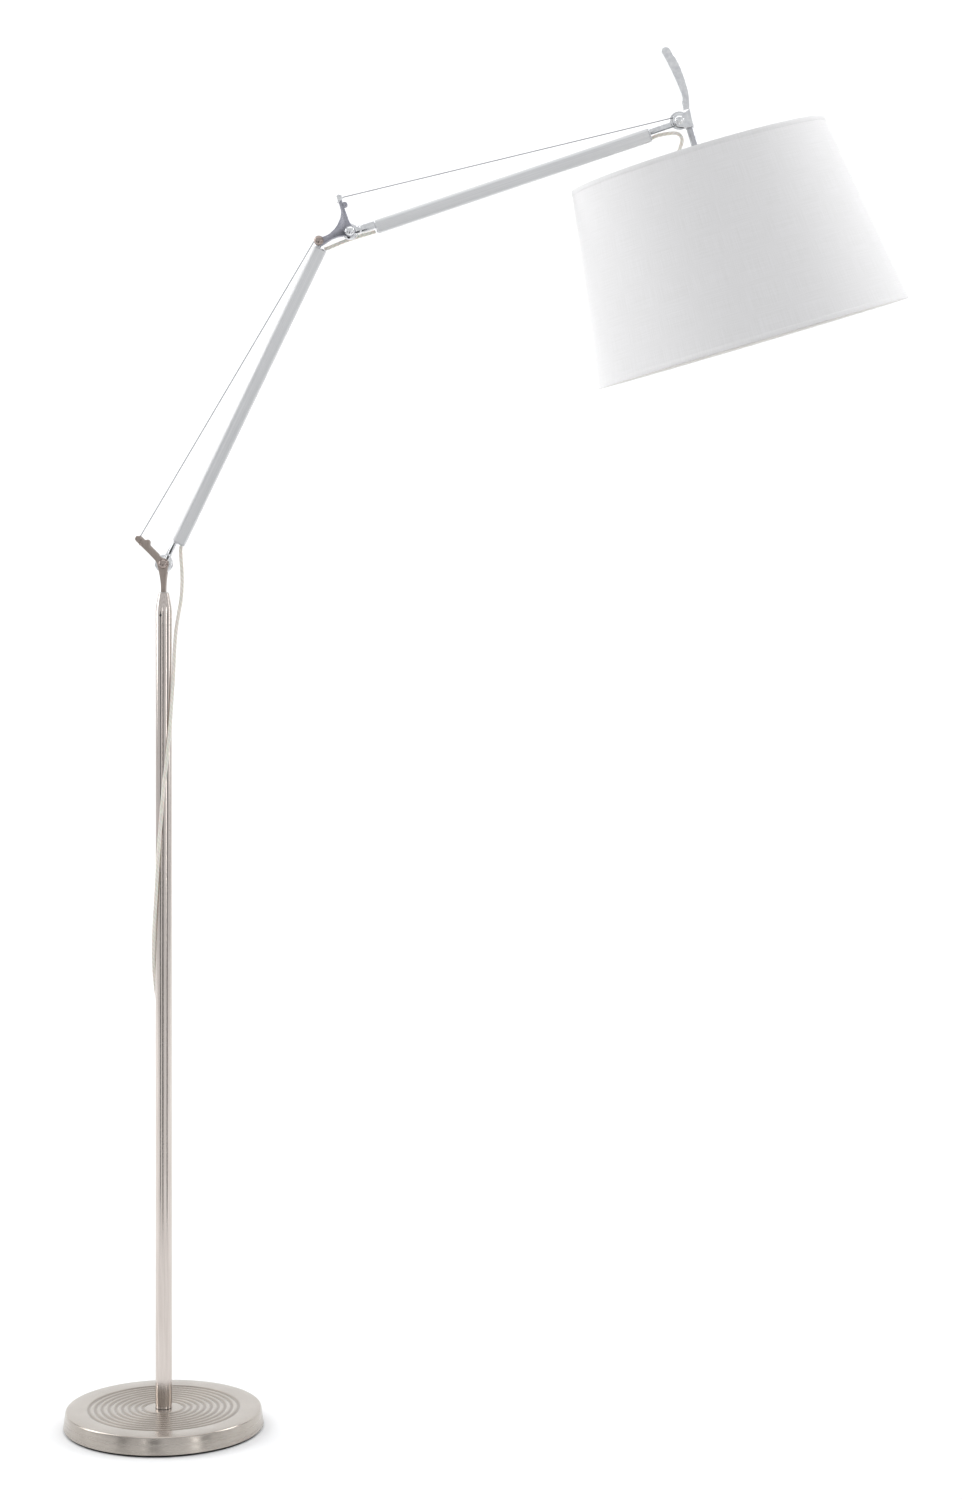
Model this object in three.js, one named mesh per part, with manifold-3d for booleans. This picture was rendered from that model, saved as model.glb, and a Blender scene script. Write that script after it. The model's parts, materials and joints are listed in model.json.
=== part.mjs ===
// An adjustable arm floor lamp: weighted base, pole, two spring balanced arms,
// a tilting head and a fabric shade.
// Millimetres, +Z up. The origin is the centre of the underside of the base, on the pole's axis.
// At rest the arms lie in the XZ plane and reach towards +X.
import * as THREE from "three";
import { mergeVertices } from "three/addons/utils/BufferGeometryUtils.js";
import Module from "manifold-3d";

const wasm = await Module();
wasm.setup();

// ---- driving dimensions ----

// clearances
const gap = 0.3; // between two pieces that touch
const pinClearance = 0.3; // radial, round a pin or a rod
const weldDistance = 1e-4;

// base
const baseRadius = 149.6; // at the floor
const baseShoulderRadius = 146.6; // at the top edge
const baseHeight = 29;
const baseWall = 1.4;
const baseEdgeRadius = 3.5;
const padThickness = 2.5;
const padInset = 3;
const rodRadius = 5;
const nutAcrossFlats = 17;
const nutHeight = 8;
const washerRadius = 16;
const washerThickness = 2;
const nutRecessRadius = 22;
const rodEngagement = 38; // how far the rod reaches into the pole

// pole
const poleRadius = 12.5;
const poleWall = 1.5;
const poleSeamHeight = 1203; // where the tube ends and its head begins
const poleHeadHeight = 1251; // top of the cone
const headSleeve = 21; // straight part of the head above the seam
const headTopRadius = 7.75;
const headPlugDepth = 25; // how far the head reaches down into the tube
const spigotRadius = 4;
const spigotDepth = 56;
const grubRadius = 1.9;
const grubLength = 6;
const grubDrop = 33; // below the top of the cone
const grubAzimuth = -106; // degrees

// pivots
const pivotHeight = 1295; // the lower arm's pivot
const pinRadius = 3;
const capRadius = 7.3;
const capHeight = 4.4;
const capEdge = 0.8;
const cheekInner = 4.6; // half the slot between a pair of cheeks
const cheekOuter = 8.6; // half the width over a pair of cheeks
const discRadius = 14.2; // friction disc of a foot knuckle
const pulleyRun = 6; // radius of the cable's centre line on its pulley
const pulleyRim = 7.6;

// arms
const lowerLean = 25.7; // degrees from the vertical
const bracketLean = 72.8;
const upperLean = 71.4;
const lowerLength = 537.4; // pivot to pivot
const bracketLength = 48.7;
const upperLength = 521;
const profileWidth = 20.5;
const profileDepth = 18;
const profileCorner = 3.4;
const profileOffset = 6.4; // the profile's centre line lies this far below the pivots' line
const lowerFootGap = 38.1; // pivot to the profile's end
const upperFootGap = 40.5;
const elbowGap = 10.9;
const headGap = 50;
const springCellRadius = 4.7;
const cablePlane = -cheekInner / 2; // y of the cables, pulleys and springs
const cordCellWidth = 6.4;
const cordCellDepth = 3.4;
const cordCellX = 5.7; // from the profile's centre line
const cordCellY = 6.1;
const grooveX = -4.6; // the fine groove along the profile's sides
const grooveSize = 0.5;
const keyCellX = -7.4; // from the profile's centre line
const keyCellWidth = 3;
const keyCellDepth = 11;
const keyLength = 24;
const flangeThickness = 2;
const flangeMargin = 0.6; // how much smaller a flange is than its profile
const cableHoleRadius = 3;
const tongueRoot = 7.4; // width of a foot tongue at its pivot
const lowerTongueX = 1; // centre of a tongue, below the pivots' line
const lowerTongueWidth = 8;
const upperTongueX = 2.5;
const upperTongueWidth = 12;
const elbowTongueWidth = 7;
const headTongueWidth = 9;
const hookDepth = 46; // from a profile's top end down to the cable's hook
const springGap = 3; // between a cable's hook and its spring
const cableRadius = 0.7;
const springRadius = 3.3;
const springWire = 0.75;
const springTurns = 8;

// levers that the cables hang from
const leverLength = 52.5;
const leverLean = -45; // degrees from the vertical
const leverWidth = 9.5;
const lobeRadius = 4.6;
const lobeSetback = 12.8; // from the lever's tip, along the lever
const eyeRadius = 4;
const rivetRadius = 2.3;
const rivetHeadRadius = 5;
const rivetHeadHeight = 3.2;

// head
const headLean = -16.4; // degrees: the shade's lower end leans towards +X
const shadeAxisOffset = 12; // from the head's pivot
const stemRadius = 5.5;
const stemTop = 15; // below the pivot, along the shade's axis
const stemEnd = 66;
const holderRadius = 20;
const holderLength = 50;
const holderBore = 14.6;
const handleDepth = 9;
const handleFootWidth = 9.6;
const headHubRadius = 10;
const headShoulder = [19.6, 12.4]; // where the bracket carries the handle
const holderFlangeDrop = 20;
const knobRadius = 4.5;
const knobLength = 15;
const knobDrop = 15; // below the top of the lampholder

// shade
const shadeTop = 57.2; // below the pivot, along the shade's axis
const shadeHeight = 295;
const shadeTopRadius = 197;
const shadeBottomRadius = 241;
const shadeWall = 1.2;
const ringWire = 1.6;
const spiderHubWidth = 9; // of the spider's ring round the lampholder
const spiderHubThickness = 2;
const spokeCount = 3;

// bulb
const bulbRadius = 30;
const bulbLength = 82; // of the glass, below the cap
const bulbWall = 1.2;
const bulbCapRadius = 13.2;
const bulbCapLength = 25;

// power cord
const cordWidth = 5.6;
const cordThickness = 2.8;
const cordSolidRadius = 2.1;
const hankCentre = [-8, 173];
const hankRun = 85;
const hankRadius = 21.4;
const hankHeight = 11.2;
const tieX = 17;
const tieWidth = 7;
const tieThickness = 0.9;
const plugStart = [72, 152];
const plugLean = -29.5; // degrees from +X
const plugLength = 36;
const plugWidth = 26;
const plugThickness = 13.6;
const plugPinLength = 19;
const plugPinRadius = 2;
const plugPinSpacing = 19;

// mesh fineness
const fineSides = 48;
const midSides = 20;
const pinSides = 14;
const smallSides = 10;
const curveSteps = 6;
const cordSides = 8;

const degree = Math.PI / 180;

// ---- making solids ----

// A closed geometry as a manifold-3d solid with its faces outwards.
function solidOf(geometry) {
  const bare = geometry.index ? geometry.toNonIndexed() : geometry.clone();
  bare.deleteAttribute("normal");
  bare.deleteAttribute("uv");
  const merged = mergeVertices(bare, weldDistance);
  const corners = merged.index.array;
  const kept = [];
  for (let i = 0; i < corners.length; i += 3) {
    const [a, b, c] = [corners[i], corners[i + 1], corners[i + 2]];
    if (a !== b && b !== c && c !== a) kept.push(a, b, c);
  }
  const vertProperties = merged.attributes.position.array;
  const build = (list) =>
    new wasm.Manifold(new wasm.Mesh({ numProp: 3, vertProperties, triVerts: new Uint32Array(list) }));
  const made = build(kept);
  return made.volume() < 0 ? build(kept.reverse()) : made;
}

function geometryOf(solid) {
  const mesh = solid.getMesh();
  const geometry = new THREE.BufferGeometry();
  geometry.setAttribute("position", new THREE.BufferAttribute(mesh.vertProperties, 3));
  geometry.setIndex(new THREE.BufferAttribute(mesh.triVerts, 1));
  geometry.computeVertexNormals();
  return geometry;
}

const points = (list) => list.map(([x, y]) => new THREE.Vector2(x, y));

// A closed profile of [radius, height] turned about the Y axis, or about the Z axis.
function turnedY(profile, sides) {
  return solidOf(new THREE.LatheGeometry(points([...profile, profile[0]]), sides));
}

function turnedZ(profile, sides) {
  const geometry = new THREE.LatheGeometry(points([...profile, profile[0]]), sides);
  return solidOf(geometry.rotateX(Math.PI / 2));
}

// A solid cylinder from one height to another, along Y or along Z.
function pinY(radius, low, high, sides = pinSides) {
  return turnedY([[0, low], [radius, low], [radius, high], [0, high]], sides);
}

function pinZ(radius, low, high, sides = pinSides) {
  return turnedZ([[0, low], [radius, low], [radius, high], [0, high]], sides);
}

// A hollow cylinder along Z.
function tubeZ(inside, outside, low, high, sides = midSides) {
  return turnedZ([[inside, low], [outside, low], [outside, high], [inside, high]], sides);
}

// A shape drawn in XZ, given its thickness along Y.
function plate(shape, low, high, curveSegments = curveSteps) {
  const settings = { depth: high - low, bevelEnabled: false, curveSegments };
  const geometry = new THREE.ExtrudeGeometry(shape, settings);
  geometry.rotateX(Math.PI / 2);
  geometry.translate(0, high, 0);
  return solidOf(geometry);
}

// A shape drawn in XY, given its length along Z.
function bar(shape, low, high, curveSegments = curveSteps) {
  const settings = { depth: high - low, bevelEnabled: false, curveSegments };
  const geometry = new THREE.ExtrudeGeometry(shape, settings);
  geometry.translate(0, 0, low);
  return solidOf(geometry);
}

function circle(x, y, radius, Kind = THREE.Shape) {
  const outline = new Kind();
  outline.absarc(x, y, radius, 0, 2 * Math.PI, false);
  return outline;
}

function roundedRectangle(x, y, width, height, corner, Kind = THREE.Shape) {
  const [left, right, low, high] = [x - width / 2, x + width / 2, y - height / 2, y + height / 2];
  const outline = new Kind();
  outline.moveTo(left + corner, low);
  outline.lineTo(right - corner, low);
  outline.absarc(right - corner, low + corner, corner, -Math.PI / 2, 0, false);
  outline.lineTo(right, high - corner);
  outline.absarc(right - corner, high - corner, corner, 0, Math.PI / 2, false);
  outline.lineTo(left + corner, high);
  outline.absarc(left + corner, high - corner, corner, Math.PI / 2, Math.PI, false);
  outline.lineTo(left, low + corner);
  outline.absarc(left + corner, low + corner, corner, Math.PI, 1.5 * Math.PI, false);
  return outline;
}

// A round section carried along a curve.
function sweep(curve, radius, sides, steps) {
  const section = new THREE.Shape(
    Array.from({ length: sides }, (_, i) => {
      const angle = (i * 2 * Math.PI) / sides;
      return new THREE.Vector2(radius * Math.cos(angle), radius * Math.sin(angle));
    }),
  );
  return solidOf(new THREE.ExtrudeGeometry(section, { steps, extrudePath: curve }));
}

const place3 = (p) => new THREE.Vector3(...p);
const smooth = (list) => new THREE.CatmullRomCurve3(list.map(place3), false, "centripetal");

function straight(from, to, radius, sides = cordSides) {
  return sweep(new THREE.LineCurve3(place3(from), place3(to)), radius, sides, 1);
}

// ---- materials ----

const finish = (color, roughness, metalness) => ({ color, roughness, metalness });
const satinNickel = finish(0xb9afa8, 0.35, 1);
const polishedChrome = finish(0xd8d9dc, 0.12, 1);
const darkChrome = finish(0x77777d, 0.22, 1);
const anodisedAluminium = finish(0xc9c9ca, 0.45, 0.9);
const castIron = finish(0x3b3b3c, 0.8, 0.6);
const zincSteel = finish(0xa8aaac, 0.4, 1);
const steelWire = finish(0x9c9ea0, 0.35, 1);
const blackRubber = finish(0x1b1b1c, 0.9, 0);
const blackPlastic = finish(0x26272a, 0.5, 0);
const whitePlastic = finish(0xe9e8e4, 0.45, 0);
const clearCord = finish(0xe6e4d8, 0.3, 0);
const shadeFabric = finish(0xf0eeec, 0.9, 0);
const whiteWire = finish(0xeceae6, 0.5, 0.2);
const opalGlass = finish(0xf7f5ef, 0.3, 0);
const brass = finish(0xc9a85c, 0.3, 1);

function piece(group, name, solid, { color, roughness, metalness }) {
  const material = new THREE.MeshStandardMaterial({ color, roughness, metalness });
  const mesh = new THREE.Mesh(geometryOf(solid), material);
  mesh.name = name;
  group.add(mesh);
}

// ---- base and pole ----

const lamp = new THREE.Group();

function makeBase() {
  const bottom = padThickness + gap;
  const rodHole = rodRadius + pinClearance;
  piece(lamp, "base_pad", pinZ(baseRadius - padInset, 0, padThickness, fineSides), blackRubber);

  const edgeX = baseShoulderRadius - baseEdgeRadius;
  const edgeZ = baseHeight - baseEdgeRadius;
  const edge = Array.from({ length: 3 }, (_, i) => {
    const angle = ((i + 1) * Math.PI) / 6;
    return [edgeX + baseEdgeRadius * Math.cos(angle), edgeZ + baseEdgeRadius * Math.sin(angle)];
  });
  const coverProfile = [
    [rodHole, baseHeight - baseWall],
    [edgeX - baseWall, baseHeight - baseWall],
    [baseShoulderRadius - baseWall, edgeZ],
    [baseRadius - baseWall, bottom],
    [baseRadius, bottom],
    [baseShoulderRadius, edgeZ],
    ...edge,
    [rodHole, baseHeight],
  ];
  piece(lamp, "base_cover", turnedZ(coverProfile, fineSides), satinNickel);

  const weightTop = baseHeight - baseWall - gap;
  const weightRadius = baseShoulderRadius - baseWall - baseEdgeRadius;
  const recessTop = bottom + nutHeight + washerThickness + 2 * gap + baseWall;
  const weightProfile = [
    [rodHole, recessTop],
    [nutRecessRadius, recessTop],
    [nutRecessRadius, bottom],
    [weightRadius, bottom],
    [weightRadius, weightTop],
    [rodHole, weightTop],
  ];
  piece(lamp, "base_weight", turnedZ(weightProfile, fineSides), castIron);

  const washerLow = recessTop - gap - washerThickness;
  const washer = tubeZ(rodHole, washerRadius, washerLow, washerLow + washerThickness);
  piece(lamp, "base_washer", washer, zincSteel);

  const nutTop = washerLow - gap;
  const hexagon = pinZ(nutAcrossFlats / 2 / Math.cos(Math.PI / 6), nutTop - nutHeight, nutTop, 6);
  const nutHole = pinZ(rodHole, nutTop - nutHeight - 1, nutTop + 1);
  piece(lamp, "base_nut", hexagon.subtract(nutHole), zincSteel);

  const rodTop = baseHeight + rodEngagement;
  piece(lamp, "base_rod", pinZ(rodRadius, nutTop - nutHeight, rodTop), zincSteel);

  const bushRadius = poleRadius - poleWall - gap;
  const bushLow = baseHeight + gap;
  const bushHigh = baseHeight + rodEngagement;
  piece(lamp, "pole_foot_bush", tubeZ(rodHole, bushRadius, bushLow, bushHigh), zincSteel);
}

function makePole() {
  const low = baseHeight + gap;
  const inside = poleRadius - poleWall;
  piece(lamp, "pole_tube", tubeZ(inside, poleRadius, low, poleSeamHeight), satinNickel);

  const seam = poleSeamHeight + gap;
  const coneFoot = poleSeamHeight + headSleeve;
  const coneRise = poleHeadHeight - coneFoot;
  const bore = spigotRadius + pinClearance;
  const coneWidth = poleRadius - headTopRadius;
  const headProfile = [
    [bore, poleSeamHeight - headPlugDepth],
    [inside - gap, poleSeamHeight - headPlugDepth],
    [inside - gap, seam],
    [poleRadius, seam],
    [poleRadius, coneFoot],
    [headTopRadius + 0.8 * coneWidth, coneFoot + 0.3 * coneRise],
    [headTopRadius + 0.5 * coneWidth, coneFoot + 0.6 * coneRise],
    [headTopRadius, poleHeadHeight],
    [bore, poleHeadHeight],
  ];
  const sideways = (solid) => solid.rotate([0, 90, 0]).rotate([0, 0, grubAzimuth]);
  const grubHeight = poleHeadHeight - grubDrop;
  const grubHole = sideways(pinZ(grubRadius + pinClearance, 0, poleRadius + 1, smallSides));
  const head = turnedZ(headProfile, midSides).subtract(grubHole.translate([0, 0, grubHeight]));
  piece(lamp, "pole_head", head, satinNickel);

  const grubLow = spigotRadius + 2 * gap;
  const grub = sideways(pinZ(grubRadius, grubLow, grubLow + grubLength, smallSides));
  piece(lamp, "pole_head_grub_screw", grub.translate([0, 0, grubHeight]), zincSteel);
}

// ---- pivots ----

// A domed bolt from the front and a domed cap nut at the back, on the group's own Y axis.
function makePivotBolt(group, name, x = 0, z = 0) {
  const face = cheekOuter + gap;
  const dome = (side) =>
    [0, 1, 2, 3].map((i) => {
      const angle = (i * Math.PI) / 6;
      const height = capEdge + (capHeight - capEdge) * Math.cos(angle);
      return [capRadius * Math.sin(angle), side * (face + height)];
    });
  const shankEnd = face + 0.55 * capHeight;
  const bolt = turnedY(
    [...dome(-1), [capRadius, -face], [pinRadius, -face], [pinRadius, shankEnd], [0, shankEnd]],
    midSides,
  );
  const nut = turnedY([...dome(1), [capRadius, face], [0, face]], midSides);
  const socket = pinY(pinRadius + pinClearance, face - 1, shankEnd + gap);
  piece(group, name + "_bolt", bolt.translate([x, 0, z]), polishedChrome);
  piece(group, name + "_cap_nut", nut.subtract(socket).translate([x, 0, z]), polishedChrome);
}

// A grooved pulley at the top end of an arm, in the cable's plane.
function pulley() {
  const half = (cheekInner - 2 * gap) / 2;
  const grooveHalf = cableRadius + gap;
  const grooveFloor = pulleyRun - cableRadius - gap;
  const bore = pinRadius + pinClearance;
  const profile = [
    [bore, -half],
    [pulleyRim, -half],
    [pulleyRim, -grooveHalf],
    [grooveFloor, -grooveHalf],
    [grooveFloor, grooveHalf],
    [pulleyRim, grooveHalf],
    [pulleyRim, half],
    [bore, half],
  ];
  return turnedY(profile, midSides).translate([0, cablePlane, 0]);
}

// ---- the fork and its lever ----

const swivel = new THREE.Group();
lamp.add(swivel);
const forkPivot = new THREE.Group();
forkPivot.position.z = pivotHeight;
swivel.add(forkPivot);

// Where a cable hangs, at the tip of a lever, in the plane of its pivot group.
const forkTip = [leverLength * Math.sin(leverLean * degree), leverLength * Math.cos(leverLean * degree)];
const washerRise = 1;
const neckWidth = 7.2;
const neckTopWidth = 11.2;
const hubRadius = 8;

// A bar of constant width from one point to another, with round ends.
function linkShape(from, to, width) {
  const [dx, dz] = [to[0] - from[0], to[1] - from[1]];
  const heading = Math.atan2(dz, dx);
  const shape = new THREE.Shape();
  shape.absarc(from[0], from[1], width / 2, heading + Math.PI / 2, heading + 1.5 * Math.PI, false);
  shape.absarc(to[0], to[1], width / 2, heading - Math.PI / 2, heading + Math.PI / 2, false);
  return shape;
}

// The rivet at a lever's tip and the eye on it, between the cheeks, that a cable ends in.
function makeCableAnchor(group, name, [x, z]) {
  const half = cheekInner - gap;
  const face = cheekOuter + gap;
  const eye = pinY(eyeRadius, -half, half).subtract(pinY(rivetRadius + pinClearance, -half - 1, half + 1));
  piece(group, name + "_cable_eye", eye.translate([x, 0, z]), zincSteel);
  const shank = pinY(rivetRadius, -face - 1, face + 1, smallSides);
  const headSide = pinY(rivetHeadRadius, -face - rivetHeadHeight, -face, 6);
  const tailSide = pinY(rivetHeadRadius - 1, face, face + rivetHeadHeight / 2, smallSides);
  piece(group, name + "_rivet", shank.add(headSide).add(tailSide).translate([x, 0, z]), polishedChrome);
}

function makeFork() {
  const neckLow = poleHeadHeight + gap + washerRise + gap - pivotHeight;
  const washerLow = poleHeadHeight + gap;
  const washerBore = spigotRadius + pinClearance;
  const washer = tubeZ(washerBore, headTopRadius, washerLow, washerLow + washerRise);
  piece(swivel, "swivel_washer", washer, whitePlastic);

  // front view: a slim neck that widens to the pivot, then the lever
  const slotFloor = -discRadius - 2 * gap;
  const neck = new THREE.Shape();
  neck.moveTo(-neckWidth / 2, neckLow);
  neck.lineTo(neckWidth / 2, neckLow);
  neck.quadraticCurveTo(neckWidth / 2 + 0.2, slotFloor - 6, neckTopWidth / 2, slotFloor);
  neck.lineTo(hubRadius - 0.6, -2);
  neck.absarc(0, 0, hubRadius, -0.25, Math.PI + 0.25, false);
  neck.lineTo(-neckTopWidth / 2 - 0.8, slotFloor);
  neck.quadraticCurveTo(-neckWidth / 2 - 0.2, slotFloor - 10, -neckWidth / 2, neckLow);
  const lever = linkShape([0, 0], forkTip, leverWidth);
  const along = leverLength - lobeSetback;
  const inward = leverWidth / 2;
  const [s, c] = [Math.sin(leverLean * degree), Math.cos(leverLean * degree)];
  const lobe = circle(along * s + inward * c, along * c - inward * s, lobeRadius);
  const flat = plate(neck, -cheekOuter, cheekOuter)
    .add(plate(lever, -cheekOuter, cheekOuter))
    .add(plate(lobe, -cheekOuter, cheekOuter));

  // side view: round at the foot, as wide as the cheeks above
  const side = new THREE.Shape();
  side.moveTo(-headTopRadius, neckLow);
  side.lineTo(headTopRadius, neckLow);
  side.lineTo(cheekOuter, neckLow + 8);
  side.lineTo(cheekOuter, leverLength);
  side.lineTo(-cheekOuter, leverLength);
  side.lineTo(-cheekOuter, neckLow + 8);
  const sideways = plate(side, -leverLength, leverLength).rotate([0, 0, 90]);

  // the slot for the knuckle, and the gap between the two levers
  const slotTop = leverLength + leverWidth;
  const slot = roundedRectangle(0, (slotFloor + slotTop) / 2, 4 * leverLength, slotTop - slotFloor, 1);
  const bore = pinY(pinRadius + pinClearance, -cheekOuter - 1, cheekOuter + 1);
  const rivetHole = pinY(rivetRadius + pinClearance, -cheekOuter - 1, cheekOuter + 1, smallSides);
  const spigot = pinZ(spigotRadius, poleHeadHeight - spigotDepth - pivotHeight, neckLow + 1);
  const bridge = plate(lobe, -cheekInner - 1, cheekInner + 1);
  const fork = flat
    .intersect(sideways)
    .subtract(plate(slot, -cheekInner, cheekInner))
    .subtract(bore)
    .subtract(rivetHole.translate([forkTip[0], 0, forkTip[1]]))
    .add(spigot)
    .add(bridge);
  piece(forkPivot, "fork", fork, satinNickel);

  makePivotBolt(forkPivot, "lower_pivot");
  makeCableAnchor(forkPivot, "lower", forkTip);
}

// ---- arms ----
// Each arm's group has its foot pivot at the origin and its top pivot on +Z; +X is the underside.

function armProfile(low, high) {
  const shape = roundedRectangle(profileOffset, 0, profileWidth, profileDepth, profileCorner);
  const cordCell = roundedRectangle(
    profileOffset + cordCellX, cordCellY, cordCellWidth, cordCellDepth, cordCellDepth / 3, THREE.Path);
  const keyCell = roundedRectangle(
    profileOffset + keyCellX, 0, keyCellWidth, keyCellDepth, keyCellWidth / 3, THREE.Path);
  shape.holes = [circle(profileOffset, cablePlane, springCellRadius, THREE.Path), cordCell, keyCell];
  const tube = bar(shape, low, high, 4);
  const cutter = (side) => {
    const groove = roundedRectangle(
      profileOffset + grooveX, (side * profileDepth) / 2, 2 * grooveSize, 2 * grooveSize, grooveSize / 4);
    return bar(groove, low - 1, high + 1, 1);
  };
  return tube.subtract(cutter(-1)).subtract(cutter(1));
}

// The flange on a profile's end, with its key inside the profile and its openings for cable and cord.
function knuckleFlange(end, outward) {
  const low = outward < 0 ? end - gap - flangeThickness : end + gap;
  const shape = roundedRectangle(
    profileOffset, 0, profileWidth - flangeMargin, profileDepth - flangeMargin, profileCorner);
  const cordCell = roundedRectangle(
    profileOffset + cordCellX, cordCellY, cordCellWidth, cordCellDepth, cordCellDepth / 3, THREE.Path);
  shape.holes = [circle(profileOffset, cablePlane, cableHoleRadius, THREE.Path), cordCell];
  const key = roundedRectangle(
    profileOffset + keyCellX, 0, keyCellWidth - 2 * gap, keyCellDepth - 2 * gap, gap);
  const inner = end - outward * keyLength;
  const keyBar = bar(key, Math.min(inner, low + 1), Math.max(inner, low + 1), 2);
  return bar(shape, low, low + flangeThickness, 3).add(keyBar);
}

// The chrome knuckle at an arm's foot: a friction disc, a hub and a tongue up to the profile.
function footKnuckle(end, centre, width) {
  const half = cheekInner - gap;
  const reach = end - gap - flangeThickness / 2;
  const shoulder = discRadius + tongueRoot;
  const tongue = new THREE.Shape();
  tongue.moveTo(centre - tongueRoot / 2, 0);
  tongue.lineTo(centre + tongueRoot / 2, 0);
  tongue.lineTo(centre + width / 2, shoulder);
  tongue.lineTo(centre + width / 2, reach);
  tongue.lineTo(centre - width / 2, reach);
  tongue.lineTo(centre - width / 2, shoulder);
  const bore = pinY(pinRadius + pinClearance, -half - 1, half + 1);
  return plate(tongue, -half, half)
    .add(pinY(hubRadius - gap, -half, half, midSides))
    .add(pinY(discRadius, -1, half, midSides))
    .add(knuckleFlange(end, -1))
    .subtract(bore);
}

// The knuckle at an arm's top end, behind the pulley.
function topKnuckle(length, end, discSize, centre, width) {
  const [low, high] = [gap, cheekInner - gap];
  const reach = end + gap + flangeThickness / 2;
  const tongue = new THREE.Shape();
  tongue.moveTo(centre - width / 2, reach);
  tongue.lineTo(centre + width / 2, reach);
  tongue.lineTo(centre + width / 2, length);
  tongue.lineTo(centre - width / 2, length);
  const bore = pinY(pinRadius + pinClearance, -1, high + 1).translate([0, 0, length]);
  return plate(tongue, low, high)
    .add(pinY(discSize, low, high, midSides).translate([0, 0, length]))
    .add(knuckleFlange(end, 1))
    .subtract(bore);
}

// A cable from a lever's tip, over the pulley at the arm's top and back inside to the spring.
function tensionCable(tipX, tipZ, length, end) {
  const [dx, dz] = [-tipX, length - tipZ];
  const distance = Math.hypot(dx, dz);
  // the tangent from the tip to the pulley's upper side
  const heading = Math.atan2(dx, dz) - Math.asin(pulleyRun / distance);
  const touch = [-pulleyRun * Math.cos(heading), length + pulleyRun * Math.sin(heading)];
  const start = eyeRadius + gap;
  const from = [tipX + start * Math.sin(heading), cablePlane, tipZ + start * Math.cos(heading)];
  const run = straight(from, [touch[0], cablePlane, touch[1]], cableRadius);
  const arcPoints = Array.from({ length: 9 }, (_, i) => {
    const angle = Math.PI - heading - ((Math.PI - heading) * i) / 8;
    return [pulleyRun * Math.cos(angle), cablePlane, length + pulleyRun * Math.sin(angle)];
  });
  const wrap = sweep(smooth(arcPoints), cableRadius, cordSides, 16);
  const back = straight(
    [pulleyRun, cablePlane, length + gap], [pulleyRun, cablePlane, end - hookDepth], cableRadius);
  return run.add(wrap).add(back);
}

function balanceSpring(low, high) {
  const stepsPerTurn = 7;
  const path = new THREE.Curve();
  path.getPoint = (t, target = new THREE.Vector3()) => {
    const angle = t * springTurns * 2 * Math.PI;
    const x = profileOffset + springRadius * Math.cos(angle);
    const y = cablePlane + springRadius * Math.sin(angle);
    return target.set(x, y, low + t * (high - low));
  };
  return sweep(path, springWire, 5, springTurns * stepsPerTurn);
}

// A flat lead inside its cell, from one end of the profile to the other.
function armLead(low, high) {
  const section = roundedRectangle(
    profileOffset + cordCellX, cordCellY, cordWidth, cordThickness, cordThickness / 2 - 0.1);
  return bar(section, low, high, 3);
}

function makeArm(group, name, { length, footGap, topGap, tongue, tip, topDisc, topWidth }) {
  const [low, high] = [footGap, length - topGap];
  piece(group, name + "_arm_profile", armProfile(low, high), anodisedAluminium);
  piece(group, name + "_arm_foot_knuckle", footKnuckle(low, ...tongue), polishedChrome);
  const knuckle = topKnuckle(length, high, topDisc, upperTongueX, topWidth);
  piece(group, name + "_arm_top_knuckle", knuckle, polishedChrome);
  piece(group, name + "_cable", tensionCable(...tip, length, high), steelWire);
  piece(group, name + "_spring", balanceSpring(low + 2, high - hookDepth - springGap), steelWire);
  piece(group, name + "_arm_lead", armLead(low, high), clearCord);
  piece(group, name + "_pulley", pulley().translate([0, 0, length]), whitePlastic);
}

const lowerArm = new THREE.Group();
lowerArm.rotation.y = lowerLean * degree;
forkPivot.add(lowerArm);

const elbow = new THREE.Group();
elbow.position.z = lowerLength;
elbow.rotation.y = (bracketLean - lowerLean) * degree;
lowerArm.add(elbow);

const upperArm = new THREE.Group();
upperArm.position.z = bracketLength;
upperArm.rotation.y = (upperLean - bracketLean) * degree;
elbow.add(upperArm);

const head = new THREE.Group();
head.position.z = upperLength;
head.rotation.y = (headLean - upperLean) * degree;
upperArm.add(head);

// A point of one group's XZ plane in a group that is turned by some degrees about the same origin.
function turnedPoint([x, z], degrees) {
  const [s, c] = [Math.sin(degrees * degree), Math.cos(degrees * degree)];
  return [x * c - z * s, x * s + z * c];
}

// ---- the elbow's bracket: pivots A at its origin and B on +Z, and a lever tip beyond ----

const bracketTip = [-52, bracketLength];
const tipWidth = 7.6;
const bracketWaist = 4.6; // half the width of the bracket between its pivots, on the underside
const bracketLobe = [-39, 54];

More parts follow.
